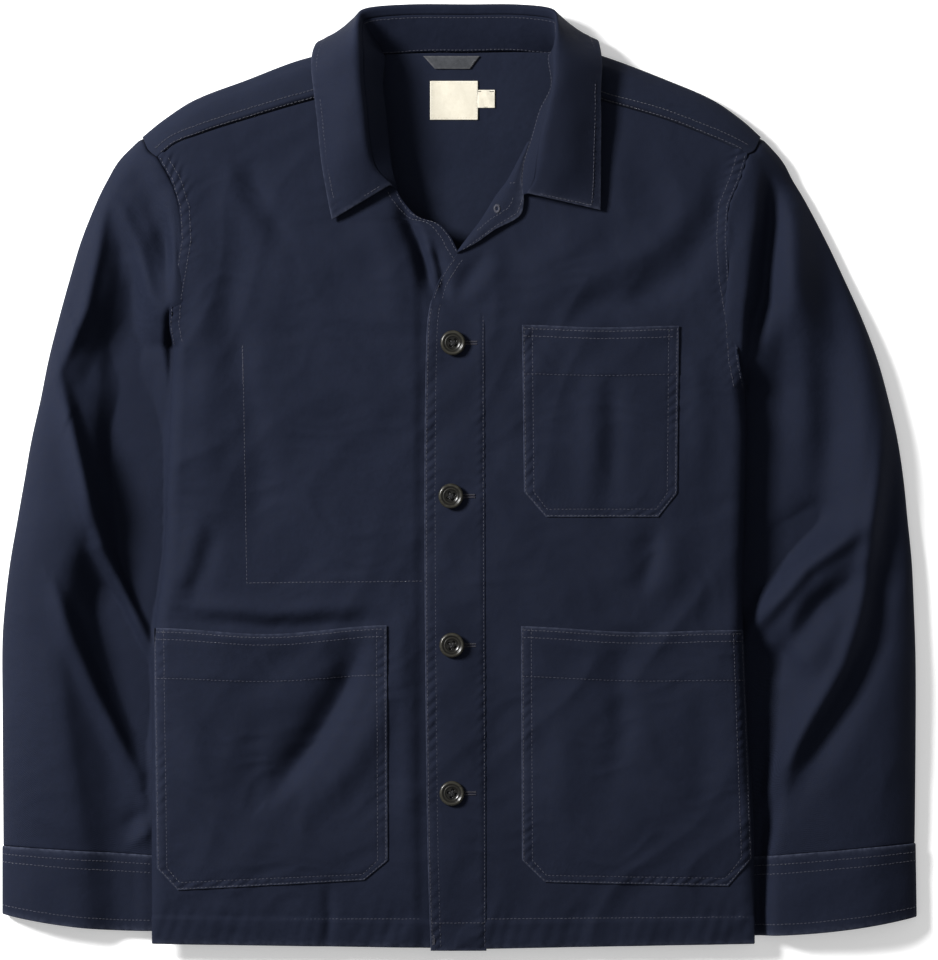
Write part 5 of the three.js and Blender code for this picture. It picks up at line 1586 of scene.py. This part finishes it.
@dataclass
class Button:
    """A four-hole button, 20 mm: its face is a profile turned round, with the holes sunk into it."""

    radius: float = 10.0
    profile: tuple = ((0, 2.3), (4.4, 2.35), (5.3, 2.75), (5.9, 2.95), (6.6, 2.7), (7.3, 3.1),
                      (8.1, 3.6), (8.9, 3.5), (9.6, 2.9), (10, 2.1))
    hole: float = 1.05
    reach: float = 2.05

    def build(self, centre: tuple[float, float, float], turn: float) -> tuple:
        """Points on rings: height is the profile at the radius, less the holes.

        Args:
            centre: Where the underside's middle sits, mm.
            turn: How the button is turned, in radians.

        Returns:
            Vertices and quads.
        """
        radius = np.concatenate([np.linspace(0.02, 5, 34), np.linspace(5.2, 9.4, 16),
                                 np.linspace(9.55, 10, 5)])
        angle = np.linspace(0, 2 * math.pi, 97)[:-1] + turn
        r, a = np.meshgrid(radius, angle, indexing="ij")
        profile = np.asarray(self.profile)
        top = through(profile[:, 0], profile[:, 1], r)
        x, y = r * np.cos(a), r * np.sin(a)
        for k in range(4):
            hole = turn + math.pi / 4 + k * math.pi / 2
            span = self.reach * math.sqrt(2)
            distance = np.hypot(x - span * math.cos(hole), y - span * math.sin(hole))
            top = top - 1.9 * (1 - smooth(self.hole * 0.75, self.hole * 1.15, distance))
        under_r = np.array([9.9, 9.2, 7.5, 4.0, 0.02])
        under_z = np.array([1.35, 0.5, 0.05, 0.0, 0.0])
        below = np.stack([under_r[:, None] * np.cos(angle), under_r[:, None] * np.sin(angle),
                          under_z[:, None] * np.ones(len(angle))], 2)
        points = np.concatenate([np.stack([x, y, top], 2), below]) + np.asarray(centre)
        rows, columns = points.shape[:2]
        index = np.arange(rows * columns).reshape(rows, columns)
        beside = np.roll(index, -1, 1)
        quads = np.stack([index[:-1], index[1:], beside[1:], beside[:-1]], 2).reshape(-1, 4)
        half = columns // 2
        caps = []
        for ring, order in ((index[0], 1), (index[-1], -1)):
            near, far = ring[:half], ring[::-1][:half]
            cap = np.stack([near[:-1], near[1:], far[1:], far[:-1]], 1)
            caps.append(cap[:, ::order])
        distance = np.hypot(points[..., 0] - centre[0], points[..., 1] - centre[1])
        pale = smooth(6.9, 7.9, distance) + 0.5 * np.exp(-(((distance - 5.9) / 0.55) ** 2))
        places = points[..., :2] * MM
        return points.reshape(-1, 3), np.concatenate([quads, *caps]), places.reshape(-1, 2), pale.ravel()

    def thread(self, centre: tuple[float, float, float], turn: float) -> tuple:
        """Thread that crosses between the holes, a few strands each way."""
        strands = []
        for k in range(2):
            base = turn + math.pi / 4 + k * math.pi / 2
            span = self.reach * math.sqrt(2)
            for shift in (-0.35, 0.0, 0.35):
                t = np.linspace(-1, 1, 9)
                x = t * span * math.cos(base) - shift * math.sin(base)
                y = t * span * math.sin(base) + shift * math.cos(base)
                z = 2.2 + 0.55 * np.sqrt(np.maximum(1 - t**4, 0)) + 0.25 * k - 0.5 * (np.abs(t) > 0.95)
                strands.append(np.stack([x, y, z], 1) + np.asarray(centre))
        strands = np.array(strands)
        normals = np.zeros_like(strands)
        normals[..., 2] = 1
        return tubes(strands, normals, np.full(9, 0.26), 4)


@dataclass
class Buttonhole:
    """A worked buttonhole: dense stitches across both of its lips and a bar at each end."""

    length: float = 17.0
    width: float = 3.2

    def build(self, surface: Surface, centre: tuple[float, float], turn: float = 0.0,
              above: float = 0.6) -> tuple:
        """Stitches across the line, a third of a millimetre apart.

        Args:
            surface: The cloth over the floor's x and y.
            centre: Middle of the hole.
            turn: Direction of the hole.
            above: The cloth's face over the surface.

        Returns:
            Vertices and quads.
        """
        count = int(self.length / 0.42)
        along = np.linspace(-0.5, 0.5, count) * self.length
        random = np.random.default_rng(int(abs(centre[0] * 7 + centre[1])))
        sets = []
        for lip in (-1, 1):
            reach = np.linspace(0.12, 0.5, 4) * self.width * lip
            place = np.broadcast_to(along[:, None], (count, 4)) + random.uniform(-0.05, 0.05, (count, 1))
            side = reach + random.uniform(-0.12, 0.12, (count, 1)) * np.array([0, 0.2, 0.6, 1])
            x = centre[0] + place * math.cos(turn) - side * math.sin(turn)
            y = centre[1] + place * math.sin(turn) + side * math.cos(turn)
            points = surface(x, y)
            points[..., 2] += above + np.array([0.05, 0.32, 0.3, -0.1])
            sets.append(points)
        centres = np.concatenate(sets)
        normals = np.zeros_like(centres)
        normals[..., 2] = 1
        return tubes(centres, normals, np.array([0.2, 0.24, 0.24, 0.18]))


    def eyelet(self, surface: Surface, centre: tuple[float, float], reach: tuple[float, float] = (2.7, 3.7),
               above: float = 0.6) -> tuple:
        """A worked eyelet: stitches that run out all round a small oval.

        Args:
            surface: The cloth over the floor's x and y.
            centre: Middle of the oval.
            reach: Half its width and half its height.
            above: The cloth's face over the surface.

        Returns:
            Vertices and quads.
        """
        turn = np.linspace(0, 2 * math.pi, 31)[:-1, None]
        share = np.linspace(0.42, 1.0, 4)
        points = surface(centre[0] + reach[0] * share * np.cos(turn), centre[1]
                         + reach[1] * share * np.sin(turn))
        points[..., 2] += above + np.array([0.0, 0.42, 0.4, -0.1])
        normals = np.zeros_like(points)
        normals[..., 2] = 1
        return tubes(points, normals, np.array([0.24, 0.3, 0.3, 0.2]))


@dataclass
class Trim:
    """Label, size tag and hanging loop on the inside of the back."""

    form: BodyForm

    def patch(self, corners: Line, thickness: float, gap: float,
              bulge: float = 0.3) -> tuple[tuple, Surface]:
        """A small flat piece between four corners, from the lower left round by the right.

        Args:
            corners: Its corners in view units.
            thickness: Its thickness.
            gap: Its middle over the back's middle.
            bulge: How far its middle swells.

        Returns:
            The shell's parts and its surface for shares across and up.
        """
        a, b, c, d = seen_at(corners)

        def surface(across: Array, up: Array) -> Array:
            """A straight mix of the corners, on the back, with a soft swell."""
            across, up = np.asarray(across)[..., None], np.asarray(up)[..., None]
            plan = lerp(lerp(a, b, across), lerp(d, c, across), up)
            swell = bulge * np.sin(math.pi * across[..., 0]) * np.sin(math.pi * up[..., 0])
            swell = swell + 0.12 * np.sin(across[..., 0] * 9 + up[..., 0] * 4)
            z = self.form.back(plan[..., 0], plan[..., 1]) + gap + swell
            return np.stack([plan[..., 0], plan[..., 1], z], -1)

        width, height = float(np.linalg.norm(b - a)), float(np.linalg.norm(d - a))
        across, up = stations(width, 0.9), stations(height, 0.9)
        share = rim(up, height, thickness / 2)[:, None] * rim(across, width, thickness / 2)
        grid = surface(*np.meshgrid(across, up))
        inside = np.minimum(np.minimum(across, 1 - across) * width,
                            np.minimum(up, 1 - up)[:, None] * height)
        return Cloth(grid, thickness, share, wear=np.exp(-inside / 0.8)).build(), surface


# Room, light and camera


@dataclass
class Studio:
    """A pale floor, a soft key light from the upper left with fill, and a camera straight above."""

    lens: float = 300.0
    reference: float = 20.0  # height at which the view's scale is exact, mm

    def floor(self) -> None:
        """Lays the floor."""
        side = 40.0
        x, y = np.meshgrid(np.linspace(-side, side, 3), np.linspace(-side, side, 3))
        points = np.stack([x, y, np.full_like(x, -0.00002)], 2).reshape(-1, 3)
        index = np.arange(9).reshape(3, 3)
        quads = np.stack([index[:-1, :-1], index[:-1, 1:], index[1:, 1:], index[1:, :-1]], 2).reshape(-1, 4)
        made = bpy.data.materials.new("pale floor")
        made.use_nodes = True
        tree = Tree(made.node_tree)
        shader = made.node_tree.nodes["Principled BSDF"]
        body = tree.node("TexCoord").outputs["Object"]
        soft = tree.node("TexNoise", Vector=body, Scale=3.0, Detail=2.0)
        tree.put(shader.inputs["Base Color"],
                 tree.blend(soft.outputs[0], (0.86, 0.86, 0.86, 1), (0.88, 0.88, 0.88, 1)))
        shader.inputs["Roughness"].default_value = 0.9
        shader.inputs["Specular IOR Level"].default_value = 0.1
        shader.inputs["Emission Color"].default_value = (1, 1, 1, 1)
        shader.inputs["Emission Strength"].default_value = 0.34
        floor = make_mesh("floor", [(points / MM, quads, None, None)], made)

    def lamp(self, name: str, place: tuple[float, float, float], size: float, power: float,
             colour: Colour = (1, 1, 1)) -> None:
        """Hangs a square soft light that looks at the middle of the jacket."""
        light = bpy.data.lights.new(name, "AREA")
        light.shape, light.size, light.energy, light.color = "SQUARE", size, power, colour
        lamp = bpy.data.objects.new(name, light)
        lamp.location = place
        lamp.rotation_euler = (-Vector(place)).to_track_quat("-Z", "Y").to_euler()
        lamp.visible_camera = False
        bpy.context.scene.collection.objects.link(lamp)

    def lights(self) -> None:
        """Hangs the key, the fill and the room's own light."""
        self.lamp("key", (-2.03, 1.08, 1.6), 0.7, 190)
        self.lamp("fill", (0.4, -0.2, 2.4), 2.4, 6)
        world = bpy.data.worlds.new("room")
        bpy.context.scene.world = world
        world.use_nodes = True
        background = world.node_tree.nodes["Background"]
        background.inputs[0].default_value = (1.0, 1.0, 1.0, 1)
        background.inputs[1].default_value = 0.25

    def camera(self) -> None:
        """Hangs the camera over the middle of the view, as high as its lens needs."""
        data = bpy.data.cameras.new("camera")
        data.lens, data.sensor_width = self.lens, 36.0
        height = max(VIEW_SIZE) * VIEW_UNIT * MM * self.lens / 36.0
        centre = seen_at(((VIEW_SIZE[0] / 2, VIEW_SIZE[1] / 2),))[0] * MM
        camera = bpy.data.objects.new("camera", data)
        camera.location = (centre[0], centre[1], height + self.reference * MM)
        data.clip_start, data.clip_end = 0.1, 50
        bpy.context.scene.collection.objects.link(camera)
        bpy.context.scene.camera = camera


# The jacket

NAVY = WovenFinish("navy twill", (0.0049, 0.0067, 0.0146), (0.01, 0.0129, 0.0256), (0.046, 0.052, 0.078))
NAVY_INSIDE = WovenFinish("navy twill inside", (0.0054, 0.0073, 0.0155), (0.0112, 0.0146, 0.0282),
                          (0.04, 0.046, 0.07))
TAPE = WovenFinish("charcoal tape", (0.028, 0.03, 0.034), (0.075, 0.078, 0.085), (0.1, 0.1, 0.105),
                   Weave.HERRINGBONE, rib=0.0009, roughness=0.85, sheen=0.04)
LABEL_CLOTH = WovenFinish("cream label cloth", (0.50, 0.46, 0.37), (0.62, 0.59, 0.50), (0.66, 0.63, 0.55),
                          Weave.PLAIN, rib=0.0008, roughness=0.7, sheen=0.05)
THREAD = ThreadFinish("navy thread", (0.022, 0.0235, 0.043))
PALE_THREAD = ThreadFinish("cream thread", (0.5, 0.47, 0.39))
BUTTON_THREAD = ThreadFinish("dark thread", (0.0045, 0.0045, 0.007), 0.0)
HOLE_THREAD = ThreadFinish("buttonhole thread", (0.0135, 0.0125, 0.0245), 0.05)
HORN = HornFinish("dark horn", (0.0025, 0.0023, 0.0018), (0.025, 0.0235, 0.0175))


class Jacket:
    """Builds every piece in order and hides the imported solids that each one stands for."""

    def __init__(self) -> None:
        """Makes the shared forms and finishes."""
        self.form = BodyForm()
        groups = Groups()
        self.navy, self.inside = NAVY.material(groups), NAVY_INSIDE.material(groups)
        self.tape, self.label = TAPE.material(groups), LABEL_CLOTH.material(groups)
        self.thread, self.pale = THREAD.material(groups), PALE_THREAD.material(groups)
        self.dark_thread, self.hole_thread = BUTTON_THREAD.material(groups), HOLE_THREAD.material(groups)
        self.horn = HORN.material(groups)
        self.left, self.right = Front(LEFT, self.form), Front(RIGHT, self.form)
        self.sleeves = {
            "left": Sleeve(LEFT, LEFT_SLEEVE_EDGE, LEFT_SLEEVE_FOLDS, LEFT_BESIDE, LEFT_REACH, (-297, -306),
                           (-350.8, -363.6), self.form, 21),
            "right": Sleeve(RIGHT, RIGHT_SLEEVE_EDGE, RIGHT_SLEEVE_FOLDS, RIGHT_BESIDE, RIGHT_REACH,
                            (-295, -308),
                            (-353, -367.6), self.form, 41),
        }
        self.collar = Collar(self.right, self.left, self.form)
        self.placket = Placket(self.form)
        self.pockets = {
            "pocket_left": Patch(LEFT, self.form,
                                 ((154, 628), (387, 625), (388, 860), (364, 880), (178, 890),
                                  (157, 868)),
                                 40, 3.4),
            "pocket_right": Patch(RIGHT, self.form,
                                  ((521, 626), (743, 630), (752, 858), (728, 886), (545, 882),
                                   (522, 860)),
                                  40, 1.8),
            "chest_pocket": Patch(RIGHT, self.form,
                                  ((522, 325), (679, 326), (677, 493), (658, 517), (546, 517),
                                   (524, 492)),
                                  39, 1.0),
        }
        self.sewn: list[tuple] = []

    def keep(self, piece: bpy.types.Object, slot: str, *nodes: str) -> bpy.types.Object:
        """Lets a piece ride on the body, hides the nodes it stands for, and reports it."""
        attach(piece, "root")
        if nodes:
            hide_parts(*nodes)
        log.info("%s: %d faces", piece.name, len(piece.data.polygons))
        return piece

    def sew(self, surface: Surface, path: Array, above: float = 0.5, face: int = 1) -> None:
        """Adds a row of stitches."""
        self.sewn.append(Thread(face=face).sew(surface, path, above, len(self.sewn) + 1))

    def finish_sewing(self, name: str) -> None:
        """Joins the rows sewn since the last call into one piece."""
        piece = make_mesh(name, self.sewn, self.thread)
        self.keep(piece, "twill")
        self.sewn = []

    def body(self) -> None:
        """Back and fronts, with their hems, seams and stitching."""
        back = self.keep(Back(self.form).dress(self.inside, "back_panel"), "twill", "back")
        for front, name in ((self.left, "front_left"), (self.right, "front_right")):
            piece = self.keep(front.dress(self.navy, name + "_panel"), "twill", name)
            side = front.side
            surface = self.form.on_front(side)
            armhole = seen_at(ARMHOLE_LEFT if side.sign < 0 else ARMHOLE_RIGHT)
            for row in (1.6, 8.2):
                inset = armhole + np.array([-side.sign * row, 0])
                self.sew(surface, inset)
            hem = seen_at(((155, 919), (424, 919)) if side.sign < 0 else ((487, 919), (750, 917)))
            self.sew(surface, hem)
            if side.sign < 0:
                self.lower_front_sewing(surface)
            else:
                self.turned_corner_sewing(surface)
            self.finish_sewing(name + "_stitches")
            self.shoulder_sewing(side)
        self.finish_sewing("shoulder_stitches")

    def lower_front_sewing(self, surface: Surface) -> None:
        """The pocket bag's line that shows on the lower front, and the double row at its neck edge."""
        self.sew(surface, seen_at(((243, 345), (247, 583), (425, 581))))
        self.sewn.append(Thread(pitch=1.5, length=1.3).sew(surface,
                                                           seen_at(((242.6, 347),
                                                                    (243.4, 386))), 0.5, 70))
        rows = np.linspace(17.5, 23, 60)
        edge = self.left.grid(rows, np.linspace(0.8, 1, 24))
        width = np.linalg.norm(edge[:, -1] - edge[:, 0], axis=1)
        for inset in (1.6, 8.0):
            self.sew(surface_of(edge), np.column_stack([1 - inset / width, np.linspace(0, 1, 60)]))

    def turned_corner_sewing(self, surface: Surface) -> None:
        """Rows up the upper front's edge, and those on its turned-back corner with the top buttonhole."""
        up = np.linspace(142, 174, 12)
        for inset in (1.8, 8.2):
            self.sew(surface, np.column_stack([RIGHT.edge_x(up) + inset, up]))
        corner = over(self.right.turned(np.linspace(*TURN_ROWS, 160), np.linspace(0, 1, 60)))
        self.sew(corner,
                 seen_at(((463, 250), (478, 239.5), (495, 227), (517, 213.5), (521, 203), (523, 197))))
        self.sew(corner, seen_at(((477, 231), (491, 219.5), (508, 208.5), (512, 202), (514, 195))))
        self.sew(corner, seen_at(((507, 183.5), (520, 183))))
        eyelet = seen_at(((497, 209),))[0]
        self.sewn.append(Buttonhole().eyelet(corner, tuple(eyelet)))

    def shoulder_sewing(self, side: Side) -> None:
        """Two rows behind a shoulder seam."""
        count = 60
        share = np.linspace(0.02, 0.98, count)[::-side.sign]
        strip = side.shoulder_point(np.linspace(4, 3, 21), share)
        gap = np.linalg.norm(strip[-1] - strip[0], axis=1)
        for inset in (1.8, 7.4):
            self.sew(surface_of(strip), np.column_stack([np.linspace(0, 1, count), inset / gap]), 0.75)

    def arms(self) -> None:
        """Sleeves and cuffs."""
        for name, sleeve in self.sleeves.items():
            tube = self.keep(sleeve.dress(self.navy, f"sleeve_{name}_tube"), "twill", f"sleeve_{name}")
            cuff = self.keep(sleeve.dress_cuff(self.navy, f"cuff_{name}_band"), "twill", f"cuff_{name}")
            top = sleeve.cuff_points(np.linspace(1, 0, 57))[:, :105][:, ::-sleeve.side.sign]
            for up in (8 / 56, 1 - 12 / 56, 1 - 5.5 / 56):
                self.sew(surface_of(top), np.array([[0.02, up], [0.98, up]]), 1.35)
            self.finish_sewing(f"cuff_{name}_stitches")

    def fastening(self) -> None:
        """Placket, buttonholes and buttons."""
        band = self.keep(self.placket.dress(self.navy, "placket_band"), "twill", "placket")
        for surface, path in self.placket.rows():
            self.sew(surface, path, 0.65, face=-1)
        top = self.form.on_front(RIGHT, 1.15)
        holes = [Buttonhole().build(top, (x + 10.5, y)) for x, y in BUTTON_PLACES]
        self.keep(make_mesh("buttonhole_stitches", holes, self.hole_thread), "twill")
        tack = seen_at(((434, 940),))[0]
        self.sewn.append(Buttonhole(length=7.0, width=1.5).build(top, tuple(tack), math.pi / 2))
        self.finish_sewing("placket_stitches")
        for index, (x, y) in enumerate(BUTTON_PLACES):
            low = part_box(f"button_{index + 1}")[0][2] / MM
            turn = (0.1, -0.3, 0.25, 0.55)[index]
            button = make_mesh(f"button_{index + 1}_disc", [Button().build((x, y, low), turn)], self.horn)
            self.keep(button, "button", f"button_{index + 1}")
            strands = make_mesh(f"button_{index + 1}_thread", [Button().thread((x, y, low), turn)],
                                self.dark_thread)
            self.keep(strands, "button")

    def patches(self) -> None:
        """The three patch pockets."""
        for name, pocket in self.pockets.items():
            piece = self.keep(pocket.dress(self.navy, name + "_patch"), "twill", name)
            width, length = pocket.size()
            for surface, path in pocket.rows():
                self.sew(surface, path, 0.5, face=-1)
            self.finish_sewing(name + "_stitches")

    def neck(self) -> None:
        """Collar stand and leaf with their stitching."""
        stand = self.keep(self.collar.dress_stand(self.navy, "collar_stand_band"), "twill", "collar_stand")
        leaf = self.keep(self.collar.dress_leaf(self.navy, "collar_leaf_fall"), "twill", "collar_leaf")
        collar = self.collar.soft_point
        self.sew(collar, np.array([[0.18, 1.12], [0.18, 1.84], [20.85, 1.84], [20.85, 1.12]]), 1.0)
        self.sew(collar, np.array([[7.4, 0.74], [13.6, 0.74]]), 0.85)
        self.sew(collar, np.array([[8.0, 0.07], [20.6, 0.07]]), 0.85)
        self.finish_sewing("collar_stitches")

    def inside_trim(self) -> None:
        """Label, size tag and loop."""
        trim = Trim(self.form)
        label, surface = trim.patch(((430, 119), (478, 119), (478, 80), (430, 80)), 0.9, 1.3)
        piece = self.keep(make_mesh("label_patch", [label], self.label), "label_cloth", "label")
        inset = np.array([[0.04, 0.05], [0.96, 0.05], [0.96, 0.95], [0.04, 0.95], [0.04, 0.05]])
        sewing = Thread(pitch=2.2, length=1.7, radius=0.16, lift=0.12).sew(surface, inset, 0.45, 90)
        self.keep(make_mesh("label_stitches", [sewing], self.pale), "label_cloth")
        tag, _ = trim.patch(((477.5, 107), (495, 107), (495, 89), (477.5, 89)), 0.7, 1.2, 0.2)
        piece = self.keep(make_mesh("size_tag_patch", [tag], self.label), "label_cloth", "size_tag")
        loop, _ = trim.patch(((435, 68), (470, 68), (480, 55), (423, 55)), 1.1, 1.5, 0.5)
        piece = self.keep(make_mesh("hang_loop_tape", [loop], self.tape), "tape", "hang_loop")


def main() -> None:
    """Builds the camera and lights, and then the jacket piece by piece."""
    logging.basicConfig(level=logging.INFO, format="%(message)s")
    bpy.context.scene.view_settings.view_transform = "Standard"
    studio = Studio()
    studio.camera()
    studio.floor()
    studio.lights()
    jacket = Jacket()
    jacket.body()
    jacket.arms()
    jacket.patches()
    jacket.fastening()
    jacket.neck()
    jacket.inside_trim()


if __name__ == "__main__":
    main()
